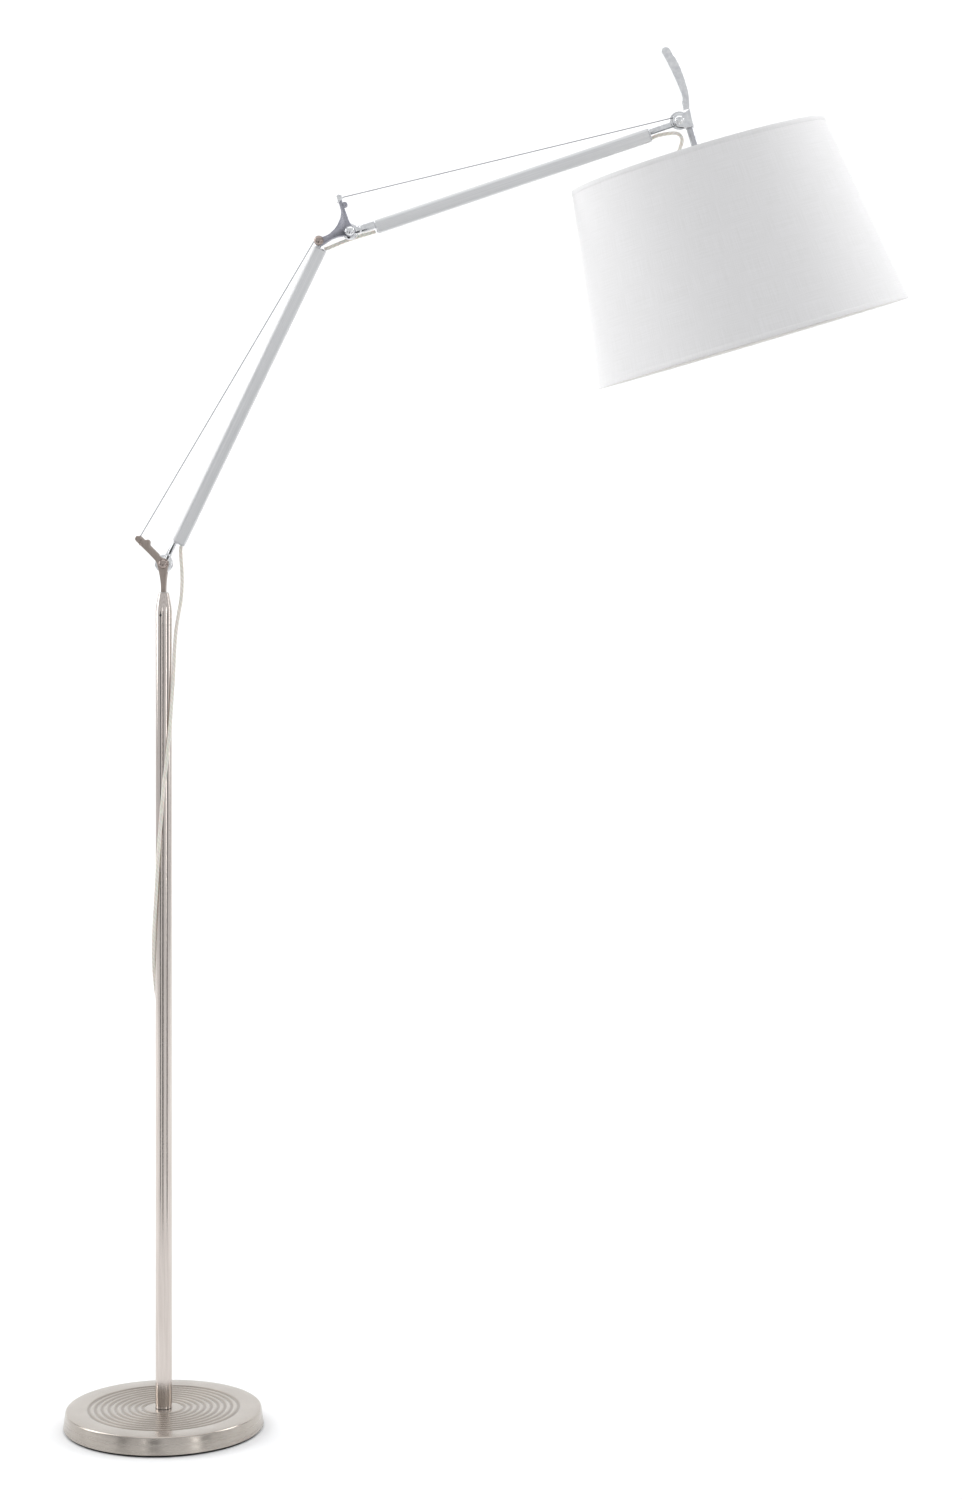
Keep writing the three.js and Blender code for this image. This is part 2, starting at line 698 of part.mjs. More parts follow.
function makeElbow() {
  const [tipX, tipZ] = bracketTip;
  const far = bracketLength;
  const shape = new THREE.Shape();
  shape.absarc(0, 0, hubRadius, 0.75 * Math.PI, 2.15 * Math.PI, false);
  shape.quadraticCurveTo(bracketWaist, 0.3 * far, bracketWaist, 0.6 * far);
  shape.lineTo(hubRadius, far);
  shape.absarc(0, far, hubRadius, 0, 0.7 * Math.PI, false);
  shape.quadraticCurveTo(-18, far + 2.4, tipX, tipZ + tipWidth / 2);
  shape.absarc(tipX, tipZ, tipWidth / 2, 0.5 * Math.PI, 1.5 * Math.PI, false);
  shape.bezierCurveTo(-28, 0.94 * far, -16, 0.85 * far, -9, 0.55 * far);
  shape.quadraticCurveTo(-5.6, 0.35 * far, -5.65, 5.65);

  const pinHole = (radius, x, z, sides) =>
    pinY(radius, -cheekOuter - 1, cheekOuter + 1, sides).translate([x, 0, z]);
  const room = (radius, x, z) => pinY(radius, -cheekInner, cheekInner, midSides).translate([x, 0, z]);
  const bracket = plate(shape, -cheekOuter, cheekOuter)
    .add(plate(circle(...bracketLobe, lobeRadius - 0.6), -cheekOuter, cheekOuter))
    .subtract(room(hubRadius + 2, 0, 0))
    .subtract(room(discRadius + 2 * gap, 0, far))
    .subtract(room(eyeRadius + 5, tipX, tipZ))
    .subtract(pinHole(pinRadius + pinClearance, 0, 0))
    .subtract(pinHole(pinRadius + pinClearance, 0, far))
    .subtract(pinHole(rivetRadius + pinClearance, tipX, tipZ, smallSides));
  piece(elbow, "elbow_bracket", bracket, darkChrome);
  makePivotBolt(elbow, "elbow_lower_pivot");
  makePivotBolt(elbow, "elbow_upper_pivot", 0, far);
  makeCableAnchor(elbow, "upper", bracketTip);
}

// ---- the head: bracket, handle, stem and lampholder, on the shade's axis below the pivot ----

function makeHead() {
  const width = 2 * stemRadius + 1;
  const foot = -stemTop + gap;
  const cheek = new THREE.Shape();
  cheek.absarc(0, 0, headHubRadius, 0.5 * Math.PI, 1.5 * Math.PI, false);
  cheek.lineTo(shadeAxisOffset - width / 2, foot);
  cheek.lineTo(shadeAxisOffset + width / 2, foot);
  cheek.lineTo(headShoulder[0], headShoulder[1]);
  cheek.quadraticCurveTo(headShoulder[0] - 8, headHubRadius - 1, 0, headHubRadius);
  const bracket = plate(cheek, -cheekOuter, cheekOuter)
    .subtract(pinY(discRadius + 2 * gap, -cheekInner, cheekInner, midSides))
    .subtract(pinY(pinRadius + pinClearance, -cheekOuter - 1, cheekOuter + 1));
  piece(head, "head_bracket", bracket, polishedChrome);
  makePivotBolt(head, "head_pivot");

  // a curved blade that widens to its rounded top
  const [footX, footZ] = [headShoulder[0] - handleFootWidth, headShoulder[1] + gap];
  const blade = new THREE.Shape();
  blade.moveTo(footX, footZ);
  blade.lineTo(headShoulder[0], footZ);
  blade.splineThru(points([[22.6, 24], [25.4, 43], [24.4, 70], [17.6, 101.5]]));
  blade.splineThru(points([[16, 108], [11, 111.8], [5.5, 110.5], [3.2, 106.5]]));
  blade.splineThru(points([[7.1, 88], [12.4, 58], [14.2, 36], [footX + 2.6, 20], [footX, footZ]]));
  piece(head, "tilt_handle", plate(blade, -handleDepth / 2, handleDepth / 2, 4), polishedChrome);

  const onAxis = (solid) => solid.translate([shadeAxisOffset, 0, 0]);
  const stemBore = stemRadius - 2;
  const stem = tubeZ(stemBore, stemRadius, -stemEnd, -stemTop, pinSides);
  piece(head, "head_stem", onAxis(stem), polishedChrome);

  // lampholder: a cap, a flange that the shade hangs from, and a skirt open at its lower end
  const high = -stemEnd - gap;
  const holder = onAxis(
    turnedZ(
      [
        [stemBore, high],
        [stemRadius + 3, high],
        [0.85 * holderRadius, high - 4],
        [holderRadius, high - 11],
        [holderRadius, high - holderFlangeDrop],
        [holderRadius + 3, high - holderFlangeDrop],
        [holderRadius + 3, high - holderFlangeDrop - 2],
        [holderRadius, high - holderFlangeDrop - 2],
        [holderRadius, high - holderLength],
        [holderBore, high - holderLength],
        [holderBore, high - holderFlangeDrop - 4],
        [stemBore, high - holderFlangeDrop - 4],
      ],
      midSides,
    ),
  );
  piece(head, "lampholder", holder, whitePlastic);

  const knobZ = high - knobDrop;
  const knobLow = holderRadius + gap;
  const knob = pinY(knobRadius, -knobLow - knobLength, -knobLow, smallSides);
  piece(head, "switch_knob", onAxis(knob.translate([0, 0, knobZ])), brass);

  const hubTop = high - holderFlangeDrop - 2 - gap;
  const ringTop = hubTop - spiderHubThickness - gap;
  const ring = tubeZ(holderRadius + gap, holderRadius + 6, ringTop - 7, ringTop);
  piece(head, "shade_retaining_ring", onAxis(ring), whitePlastic);

  const capTop = high - holderLength - 1 + bulbCapLength;
  const capLow = capTop - bulbCapLength;
  piece(head, "bulb_cap", onAxis(pinZ(bulbCapRadius, capLow, capTop)), brass);
  const glassTop = capLow - gap;
  const globeZ = glassTop - bulbLength + bulbRadius;
  const globe = Array.from({ length: 6 }, (_, i) => {
    const angle = ((i - 1) * Math.PI) / 8;
    return [bulbRadius * Math.cos(angle), globeZ - bulbRadius * Math.sin(angle)];
  });
  const outside = [[bulbCapRadius, glassTop], [bulbCapRadius + 1, glassTop - 8], ...globe.slice(0, -1)];
  const inside = outside.map(([r, z], i) => [r - bulbWall, i ? z + bulbWall / 2 : z]).reverse();
  const low = globeZ - bulbRadius;
  const glassProfile = [...outside, [0, low], [0, low + bulbWall], ...inside];
  piece(head, "bulb_glass", onAxis(turnedZ(glassProfile, midSides)), opalGlass);

  // shade: a fabric cone, a spider with its top ring, and a bottom ring
  const [topZ, lowZ] = [-shadeTop, -shadeTop - shadeHeight];
  const fabric = [
    [shadeTopRadius - shadeWall, topZ],
    [shadeTopRadius, topZ],
    [shadeBottomRadius, lowZ],
    [shadeBottomRadius - shadeWall, lowZ],
  ];
  piece(head, "shade_fabric", onAxis(turnedZ(fabric, fineSides)), shadeFabric);

  const wireRing = (radius, z) => {
    const section = Array.from({ length: 5 }, (_, i) => {
      const angle = (i * 2 * Math.PI) / 5;
      return [radius + ringWire * Math.cos(angle), z + ringWire * Math.sin(angle)];
    });
    return turnedZ(section, fineSides);
  };
  const inset = shadeWall + gap + ringWire;
  const flare = (shadeBottomRadius - shadeTopRadius) / shadeHeight;
  const topRingRadius = shadeTopRadius - inset;
  const topRingZ = topZ - ringWire - gap;
  const hubHole = pinZ(holderRadius + gap, hubTop - 9, hubTop + 9, midSides);
  const hubRim = holderRadius + spiderHubWidth;
  const hub = pinZ(hubRim, hubTop - spiderHubThickness, hubTop, midSides);
  let spider = wireRing(topRingRadius, topRingZ).add(hub);
  for (let i = 0; i < spokeCount; i++) {
    const spoke = straight(
      [hubRim - 3, 0, hubTop - spiderHubThickness / 2], [topRingRadius, 0, topRingZ], ringWire, 6);
    spider = spider.add(spoke.rotate([0, 0, (i * 360) / spokeCount]));
  }
  piece(head, "shade_spider", onAxis(spider.subtract(hubHole)), whiteWire);
  const lowRing = wireRing(shadeBottomRadius - inset - 2 * ringWire * flare, lowZ + ringWire + gap);
  piece(head, "shade_bottom_ring", onAxis(lowRing), whiteWire);

  // the lead from the upper arm, under the pivot and down to the lampholder
  const cap = shadeAxisOffset - holderRadius - 2 * gap;
  const leadRoute = [
    [-47, 6.1, -13.6], [-41, 6.1, -12.4], [-33.5, 6, -12.2], [-25, 6, -13.1], [-17, 6, -14.4],
    [-9.5, 5.8, -16.6], [-5, 5.4, -20.6], [-3.4, 4.8, -26], [-5, 4, -32], [-9.4, 3, -38.5],
    [-14, 2, -45.5], [-17, 1.2, -54], [-17, 0.6, -63], [-14.6, 0.2, -71], [-11.4, 0, -76.6],
    [cap, 0, high - 11.6],
  ];
  piece(head, "head_lead", sweep(smooth(leadRoute), cordSolidRadius - 0.2, cordSides, 22), clearCord);
}

// ---- leads and the power cord ----

// The lead from the lower arm's top end to the upper arm's foot, in the elbow's frame.
function makeElbowLead() {
  const route = [
    [14.2, 6.1, 3.7], [14, 6.2, 6.4], [13.8, 6.4, 11], [13.2, 6.7, 17], [12.4, 6.9, 25.5],
    [11.5, 7, 35], [11, 7, 46], [10.9, 6.9, 58], [11.1, 6.4, 72], [11.2, 6.1, 85.2],
  ];
  piece(elbow, "elbow_lead", sweep(smooth(route), cordSolidRadius - 0.2, cordSides, 14), clearCord);
}

// Down beside the pole, across its front and behind it, over the back of the base to the hank on the floor.
const cordRoute = [
  [26.1, 6.1, 1321.3], [25.2, 6.1, 1319.2], [24.8, 6.1, 1314], [25.6, 5.8, 1300], [27, 5, 1281],
  [27.2, 4, 1262], [25.6, 2.4, 1240], [22.4, 0.6, 1220],
  [18.9, -1.4, 1197], [16.9, -3.6, 1170], [15.2, -6.4, 1128], [12.2, -9.6, 1076], [8.2, -13, 1024],
  [0.8, -15.4, 955], [-6.6, -14, 861], [-11.4, -10.6, 785], [-14.6, -5.4, 735], [-15.2, 2.4, 690],
  [-12, 9.8, 648], [-5.4, 14.6, 602], [-1, 15.6, 555], [0, 15.6, 420], [0, 15.6, 280], [0, 15.6, 150],
  [-0.3, 16.6, 78], [-0.9, 22, 53], [-2, 33, 38], [-3.4, 48, 32], [-6.2, 76, 31.4], [-10, 114, 31.4],
  [-12.4, 138, 31.6], [-13.6, 150, 30.6], [-15, 161, 25.4], [-16, 169, 19], [-16.6, 174, 15.6],
];
const tailRoute = [[49, 153, 4.6], [55, 153.8, 5.2], [61, 154.4, 6], [67, 153.6, 6.6], [71.5, 152.2, 6.8]];

function makePowerCord() {
  piece(swivel, "power_cord", sweep(smooth(cordRoute), cordSolidRadius, cordSides, 76), clearCord);
  piece(swivel, "cord_tail", sweep(smooth(tailRoute), cordSolidRadius, cordSides, 4), clearCord);

  const [centreX, centreY] = hankCentre;
  const hankLow = tieThickness + 2 * gap;
  const hank = roundedRectangle(
    centreX, centreY, hankRun + 2 * hankRadius, 2 * hankRadius, hankRadius);
  piece(swivel, "cord_hank", bar(hank, hankLow, hankLow + hankHeight, 8), clearCord);

  const around = (margin) => [2 * (hankRadius + margin), hankHeight + 2 * margin];
  const middle = hankLow + hankHeight / 2;
  const band = roundedRectangle(centreY, middle, ...around(gap + tieThickness), 1.5);
  band.holes = [roundedRectangle(centreY, middle, ...around(gap), 0.6, THREE.Path)];
  const tie = bar(band, -tieWidth / 2, tieWidth / 2, 2).rotate([90, 0, 90]);
  piece(swivel, "cord_tie", tie.translate([tieX, 0, 0]), blackPlastic);

  // the plug lies flat: it runs along +X before it is turned
  const body = new THREE.Shape();
  body.moveTo(0, -4.2);
  body.quadraticCurveTo(0.35 * plugLength, -5, 0.45 * plugLength, -plugWidth / 2);
  body.lineTo(plugLength, -plugWidth / 2);
  body.lineTo(plugLength, plugWidth / 2);
  body.lineTo(0.45 * plugLength, plugWidth / 2);
  body.quadraticCurveTo(0.35 * plugLength, 5, 0, 4.2);
  const place = (solid) => solid.rotate([0, 0, plugLean]).translate([...plugStart, 0]);
  piece(swivel, "plug", place(bar(body, 0, plugThickness, 6)), whitePlastic);
  const sides = { left: 0.5, right: -0.5 };
  for (const [side, offset] of Object.entries(sides)) {
    const y = offset * plugPinSpacing;
    const z = plugThickness / 2;
    const low = plugLength + gap;
    const pin = straight([low, y, z], [low + plugPinLength, y, z], plugPinRadius, smallSides);
    piece(swivel, "plug_pin_" + side, place(pin), brass);
  }
}

makeBase();
makePole();
makeFork();
const lowerTip = turnedPoint(forkTip, lowerLean);
makeArm(lowerArm, "lower", {
  length: lowerLength,
  footGap: lowerFootGap,
  topGap: elbowGap,
  tongue: [lowerTongueX, lowerTongueWidth],
  tip: lowerTip,
  topDisc: hubRadius - gap,
  topWidth: elbowTongueWidth,
});
makeElbow();
const upperTip = turnedPoint([bracketTip[0], bracketTip[1] - bracketLength], upperLean - bracketLean);
makeArm(upperArm, "upper", {
  length: upperLength,
  footGap: upperFootGap,
  topGap: headGap,
  tongue: [upperTongueX, upperTongueWidth],
  tip: upperTip,
  topDisc: discRadius,
  topWidth: headTongueWidth,
});
makeHead();
makeElbowLead();
makePowerCord();

export default lamp;
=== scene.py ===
# Adjustable arm floor lamp: its finished surfaces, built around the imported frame. Metres, +Z up.
# The arms lie in the XZ plane and reach towards +X; the viewer stands on the -Y side.
import json
import math

import bpy
from mathutils import Matrix, Vector


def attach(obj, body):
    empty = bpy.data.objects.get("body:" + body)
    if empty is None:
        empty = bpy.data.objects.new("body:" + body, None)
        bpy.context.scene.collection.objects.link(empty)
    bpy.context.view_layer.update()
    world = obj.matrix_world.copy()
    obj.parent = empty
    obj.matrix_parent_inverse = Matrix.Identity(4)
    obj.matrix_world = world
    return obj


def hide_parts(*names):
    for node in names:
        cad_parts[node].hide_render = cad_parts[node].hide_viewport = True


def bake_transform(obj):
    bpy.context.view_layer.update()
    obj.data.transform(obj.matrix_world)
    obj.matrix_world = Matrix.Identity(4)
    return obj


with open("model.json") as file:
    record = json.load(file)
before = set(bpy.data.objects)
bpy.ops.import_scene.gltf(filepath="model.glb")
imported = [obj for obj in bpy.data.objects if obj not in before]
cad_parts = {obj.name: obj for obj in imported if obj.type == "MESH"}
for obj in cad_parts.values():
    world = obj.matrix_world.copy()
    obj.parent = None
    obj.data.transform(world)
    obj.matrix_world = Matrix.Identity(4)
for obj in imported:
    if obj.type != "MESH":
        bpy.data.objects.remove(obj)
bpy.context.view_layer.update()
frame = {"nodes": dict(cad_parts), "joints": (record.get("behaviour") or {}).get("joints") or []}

mm = 0.001
pivots = {joint["name"]: Vector(joint["pos_m"]) for joint in frame["joints"]}
print("frame loaded:", len(frame["nodes"]), "nodes")


# places on the lamp

def leanOf(low, high):
    return math.atan2(high.x - low.x, high.z - low.z)


def groupFrame(pivot, lean):  # +Z along the arm, +X on its underside, +Y away from the viewer
    return Matrix.Translation(pivot) @ Matrix.Rotation(lean, 4, "Y")


footPivot = pivots["lower_arm_tilt"]
elbowPivot = pivots["elbow_lower"]
kneePivot = pivots["elbow_upper"]
headPivot = pivots["head_tilt"]
head = {"tilt": math.radians(16.4), "axisOffset": 12 * mm}
world = Matrix.Identity(4)
forkFrame = groupFrame(footPivot, 0)
lowerFrame = groupFrame(footPivot, leanOf(footPivot, elbowPivot))
elbowFrame = groupFrame(elbowPivot, leanOf(elbowPivot, kneePivot))
upperFrame = groupFrame(kneePivot, leanOf(kneePivot, headPivot))
headFrame = groupFrame(headPivot, -head["tilt"])
shadeFrame = headFrame @ Matrix.Translation((head["axisOffset"], 0, 0))


# camera

view = {"eye": (0.476, -4.77, 1.455), "lens": 76.3, "shift": -293 / 1500}
cameraData = bpy.data.cameras.new("camera")
cameraData.lens = view["lens"]
cameraData.sensor_width = 36
cameraData.shift_y = view["shift"]
camera = bpy.data.objects.new("camera", cameraData)
camera.location = view["eye"]
camera.rotation_euler = (math.pi / 2, 0, 0)
bpy.context.scene.collection.objects.link(camera)
bpy.context.scene.camera = camera


# node and colour helpers

def paint(code, alpha=1):  # an sRGB hex colour as linear light
    values = [int(code[i:i + 2], 16) / 255 for i in (0, 2, 4)]
    linear = [v / 12.92 if v <= 0.04045 else ((v + 0.055) / 1.055) ** 2.4 for v in values]
    return (*linear, alpha)


def addNode(material, kind, settings=None, values=None, links=None):
    tree = material.node_tree
    node = tree.nodes.new(kind)
    for name, value in (settings or {}).items():
        setattr(node, name, value)
    for name, value in (values or {}).items():
        node.inputs[name].default_value = value
    for name, source in (links or {}).items():
        tree.links.new(source, node.inputs[name])
    return node


def newMaterial(name, **values):
    material = bpy.data.materials.new(name)
    material.use_nodes = True
    shader = material.node_tree.nodes["Principled BSDF"]
    for socket, value in values.items():
        shader.inputs[socket.replace("_", " ")].default_value = value
    return material, shader


def ramp(material, source, low, high, fromLow=0.3, fromHigh=0.7):
    node = addNode(material, "ShaderNodeMapRange", values={
        "From Min": fromLow, "From Max": fromHigh, "To Min": low, "To Max": high}, links={"Value": source})
    return node.outputs["Result"]


def blendColours(material, factor, first, second):
    node = addNode(material, "ShaderNodeMix", {"data_type": "RGBA"})
    for socket, colour in ((6, first), (7, second)):
        if isinstance(colour, tuple):
            node.inputs[socket].default_value = colour
        else:
            material.node_tree.links.new(colour, node.inputs[socket])
    material.node_tree.links.new(factor, node.inputs[0])
    return node.outputs[2]


def grain(material, place, across, along, detail=3.0):
    # noise drawn out along the +Z of a place: one grain is across x along, both in metres
    turn = place.to_euler()
    coordinates = addNode(material, "ShaderNodeTexCoord")
    # the pattern is turned back with the piece, then squeezed
    mapping = addNode(material, "ShaderNodeMapping", {"vector_type": "TEXTURE"}, {
        "Rotation": turn, "Scale": (across, across, along)}, {"Vector": coordinates.outputs["Object"]})
    noise = addNode(material, "ShaderNodeTexNoise", values={
        "Scale": 1.0, "Detail": detail, "Roughness": 0.55}, links={"Vector": mapping.outputs["Vector"]})
    return noise.outputs["Fac"]


def smudges(material, size, detail=4.0):
    coordinates = addNode(material, "ShaderNodeTexCoord")
    noise = addNode(material, "ShaderNodeTexNoise", values={
        "Scale": 1 / size, "Detail": detail, "Roughness": 0.6},
        links={"Vector": coordinates.outputs["Object"]})
    return noise.outputs["Fac"]


def bump(material, shader, height, depth, strength=0.5):
    node = addNode(material, "ShaderNodeBump", values={
        "Strength": strength, "Distance": depth}, links={"Height": height})
    material.node_tree.links.new(node.outputs["Normal"], shader.inputs["Normal"])


def feed(material, shader, **sources):
    for socket, source in sources.items():
        material.node_tree.links.new(source, shader.inputs[socket.replace("_", " ")])


# materials

def brushedNickel(name, place, light="dbd3cd", dark="c2b8b1", across=0.9 * mm, along=90 * mm, rough=0.11):
    # nickel plate brushed lengthwise: long hair lines that spread a highlight sideways
    material, shader = newMaterial(name, Metallic=1.0, Roughness=0.27)
    lines = grain(material, place, across, along)
    feed(material, shader,
         Base_Color=blendColours(material, ramp(material, lines, 0, 1), paint(dark), paint(light)),
         Roughness=ramp(material, lines, rough, rough + 0.06))
    bump(material, shader, lines, 0.02 * mm, 0.25)
    return material


# pressed rings on the base, in mm
ridges = {"first": 26, "count": 9, "pitch": 10.1, "depth": 1.5, "steps": 9}
wavePeriod = 0.314  # in metres, what one band of a wave node measures at scale 1


def spunNickel(name):
    # nickel plate turned on a spinning lathe: fine rings round the pole
    material, shader = newMaterial(name, Metallic=1.0, Roughness=0.3)
    coordinates = addNode(material, "ShaderNodeTexCoord")
    ringPitch = 1.4 * mm  # real turning marks are 0.2 mm apart, too fine to show
    rings = addNode(material, "ShaderNodeTexWave", {"wave_type": "RINGS", "rings_direction": "Z"}, {
        "Scale": wavePeriod / ringPitch, "Distortion": 1.5, "Detail": 3.0, "Detail Scale": 0.6},
        {"Vector": coordinates.outputs["Object"]}).outputs["Fac"]
    cloud = smudges(material, 60 * mm)
    unshadedTone = blendColours(material, ramp(material, cloud, 0, 1), paint("a9a29a"), paint("b8b1a9"))
    # painted shade in the hollows between the pressed ridges: a darker colour by a cosine of the radius,
    # faded out at both ends
    flat = addNode(material, "ShaderNodeVectorMath", {"operation": "MULTIPLY"}, {1: (1, 1, 0)},
                   {0: coordinates.outputs["Object"]})
    radius = addNode(material, "ShaderNodeVectorMath", {"operation": "LENGTH"},
                     links={0: flat.outputs["Vector"]})
    turns = ramp(material, radius.outputs["Value"], 0, 2 * math.pi * ridges["count"],
                 ridges["first"] * mm, (ridges["first"] + ridges["count"] * ridges["pitch"]) * mm)
    wave = addNode(material, "ShaderNodeMath", {"operation": "COSINE"}, links={0: turns})
    # the painted shade colour, darkest where the cosine dips into each hollow
    hollowShade = blendColours(material, ramp(material, wave.outputs[0], 1, 0, -0.6, 0.7), unshadedTone, paint("8f877e"))
    halfBand = ridges["count"] * ridges["pitch"] / 2
    inside = addNode(material, "ShaderNodeMath", {"operation": "COMPARE"}, {
        1: (ridges["first"] + halfBand) * mm, 2: halfBand * mm}, {0: radius.outputs["Value"]})
    # within the band of ridges the base colour carries the painted shade
    feed(material, shader,
         Base_Color=blendColours(material, inside.outputs[0], unshadedTone, hollowShade),
         Roughness=ramp(material, rings, 0.2, 0.28, 0, 1))
    bump(material, shader, rings, 0.02 * mm, 0.2)
    return material


def platedChrome(name, colour="d9dadd", roughness=0.08, haze="eceded"):
    # chrome over polished nickel: mirror bright, with the faint haze that handling leaves
    material, shader = newMaterial(name, Metallic=1.0, Roughness=roughness)
    marks = smudges(material, 7 * mm)
    tint = blendColours(material, ramp(material, marks, 0, 1), paint(colour), paint(haze))
    feed(material, shader, Base_Color=tint, Roughness=ramp(material, marks, roughness, roughness + 0.09))
    bump(material, shader, smudges(material, 1.2 * mm), 0.01 * mm, 0.12)
    return material


def blackNickel(name):
    # dark nickel chrome on a die cast bracket: smoky, with soft casting waviness
    material, shader = newMaterial(name, Metallic=1.0, Roughness=0.2)
    haze = smudges(material, 12 * mm)
    feed(material, shader,
         Base_Color=blendColours(material, ramp(material, haze, 0, 1), paint("9b9ba4"), paint("aeaeb6")),
         Roughness=ramp(material, haze, 0.17, 0.3))
    bump(material, shader, smudges(material, 3 * mm), 0.03 * mm, 0.3)
    return material


def silverProfile(name, place):
    # aluminium extrusion, etched and silver anodised: matt, with die lines down its length
    material, shader = newMaterial(name, Metallic=0.35, Roughness=0.5)
    dieLines = grain(material, place, 0.8 * mm, 300 * mm, 2.0)
    speckle = smudges(material, 0.7 * mm, 2.0)
    feed(material, shader,
         Base_Color=blendColours(material, ramp(material, dieLines, 0, 1), paint("d3d4d5"),
                                 paint("e0e0e0")),
         Roughness=ramp(material, speckle, 0.44, 0.56))
    bump(material, shader, dieLines, 0.03 * mm, 0.3)
    return material


def plainMetal(name, low, high, rough, size):
    # zinc plated steel, cast iron, brass or drawn wire, by its colours, roughness and grain size
    material, shader = newMaterial(name, Metallic=1.0, Roughness=rough)
    haze = smudges(material, size)
    feed(material, shader,
         Base_Color=blendColours(material, ramp(material, haze, 0, 1), paint(low), paint(high)),
         Roughness=ramp(material, haze, rough - 0.06, rough + 0.1))
    bump(material, shader, haze, 0.05 * mm, 0.3)
    return material


def mouldedPlastic(name, low, high, rough, size=2.5 * mm, depth=0.02 * mm):
    # injection moulded thermoplastic: even colour, a fine spark eroded texture
    material, shader = newMaterial(name, Roughness=rough, IOR=1.49)
    skin = smudges(material, size)
    feed(material, shader,
         Base_Color=blendColours(material, ramp(material, skin, 0, 1), paint(low), paint(high)),
         Roughness=ramp(material, skin, rough - 0.05, rough + 0.08))
    bump(material, shader, smudges(material, size / 5), depth, 0.3)
    return material


def clearFlex(name):
    # milky clear PVC over tinned copper strands: soft gloss, the strands' lay shows through
    material, shader = newMaterial(name, Roughness=0.3, IOR=1.53, Subsurface_Weight=0.15,
                                   Subsurface_Scale=1.5 * mm)
    along = addNode(material, "ShaderNodeUVMap", {"uv_map": "along"})
    strandPitch = 3.5 * mm
    strands = addNode(material, "ShaderNodeTexWave", {"bands_direction": "DIAGONAL"}, {
        "Scale": wavePeriod / strandPitch, "Distortion": 0.4, "Detail": 1.0},
        {"Vector": along.outputs["UV"]}).outputs["Fac"]
    cloud = smudges(material, 30 * mm)
    milk = blendColours(material, ramp(material, cloud, 0, 1), paint("ece8dd"), paint("f6f3ea"))
    feed(material, shader,
         Base_Color=blendColours(material, ramp(material, strands, 0.0, 0.4, 0.2, 0.9), milk,
                                 paint("d8d2c4")),
         Roughness=ramp(material, cloud, 0.25, 0.38))
    bump(material, shader, strands, 0.06 * mm, 0.3)
    return material


def shadeCotton(name):
    # plain weave cotton on a stiff white backing: matt, with slubs that run both ways
    material, shader = newMaterial(name, Roughness=0.92, IOR=1.45, Sheen_Weight=0.25, Sheen_Roughness=0.6,
                                   Sheen_Tint=paint("ffffff"))
    cloth = addNode(material, "ShaderNodeUVMap", {"uv_map": "cloth"})
    threadPitch = 1.5 * mm  # real threads are 0.5 mm apart, too fine to show
    threads = {}
    for way, direction in (("warp", "X"), ("weft", "Y")):
        threads[way] = addNode(material, "ShaderNodeTexWave", {"bands_direction": direction}, {
            "Scale": wavePeriod / threadPitch, "Distortion": 0.6, "Detail": 1.0, "Detail Scale": 0.3},
            {"Vector": cloth.outputs["UV"]}).outputs["Fac"]
    slubs = {}
    for way, scale in (("warp", (0.9 * mm, 45 * mm, 1)), ("weft", (60 * mm, 0.9 * mm, 1))):
        squeezed = addNode(material, "ShaderNodeMapping", {"vector_type": "TEXTURE"}, {"Scale": scale},
                           {"Vector": cloth.outputs["UV"]})
        slubs[way] = addNode(material, "ShaderNodeTexNoise", values={"Scale": 1.0, "Detail": 2.0},
                             links={"Vector": squeezed.outputs["Vector"]}).outputs["Fac"]
    weave = addNode(material, "ShaderNodeMath", {"operation": "MAXIMUM"},
                    links={0: threads["warp"], 1: threads["weft"]})
    slub = addNode(material, "ShaderNodeMath", {"operation": "ADD"},
                   links={0: slubs["warp"], 1: slubs["weft"]})
    height = addNode(material, "ShaderNodeMath", {"operation": "ADD"}, links={
        0: weave.outputs[0], 1: slub.outputs[0]})
    tone = ramp(material, slub.outputs[0], 0, 1, 0.75, 1.25)
    feed(material, shader, Base_Color=blendColours(material, tone, paint("e6e5e4"), paint("edecec")))
    bump(material, shader, height.outputs[0], 0.05 * mm, 0.3)
    return material


def opalGlass(name):
    # blown opal glass: white all through, glossy outside
    material, shader = newMaterial(name, Roughness=0.15, IOR=1.5, Subsurface_Weight=0.3,
                                   Subsurface_Scale=4 * mm)
    flow = smudges(material, 25 * mm)
    feed(material, shader,
         Base_Color=blendColours(material, ramp(material, flow, 0, 1), paint("f1eee6"), paint("faf8f2")),
         Roughness=ramp(material, flow, 0.12, 0.2))
    return material


poleNickel = brushedNickel("brushed_nickel_pole", world)
forkNickel = brushedNickel("brushed_nickel_fork", forkFrame, "b3a79f", "a1958d", 0.6 * mm, 25 * mm, 0.42)
baseNickel = spunNickel("spun_nickel_base")
chrome = platedChrome("chrome_plate")
satinChrome = platedChrome("satin_chrome", "b4b5b9", 0.24, "c9cacd")
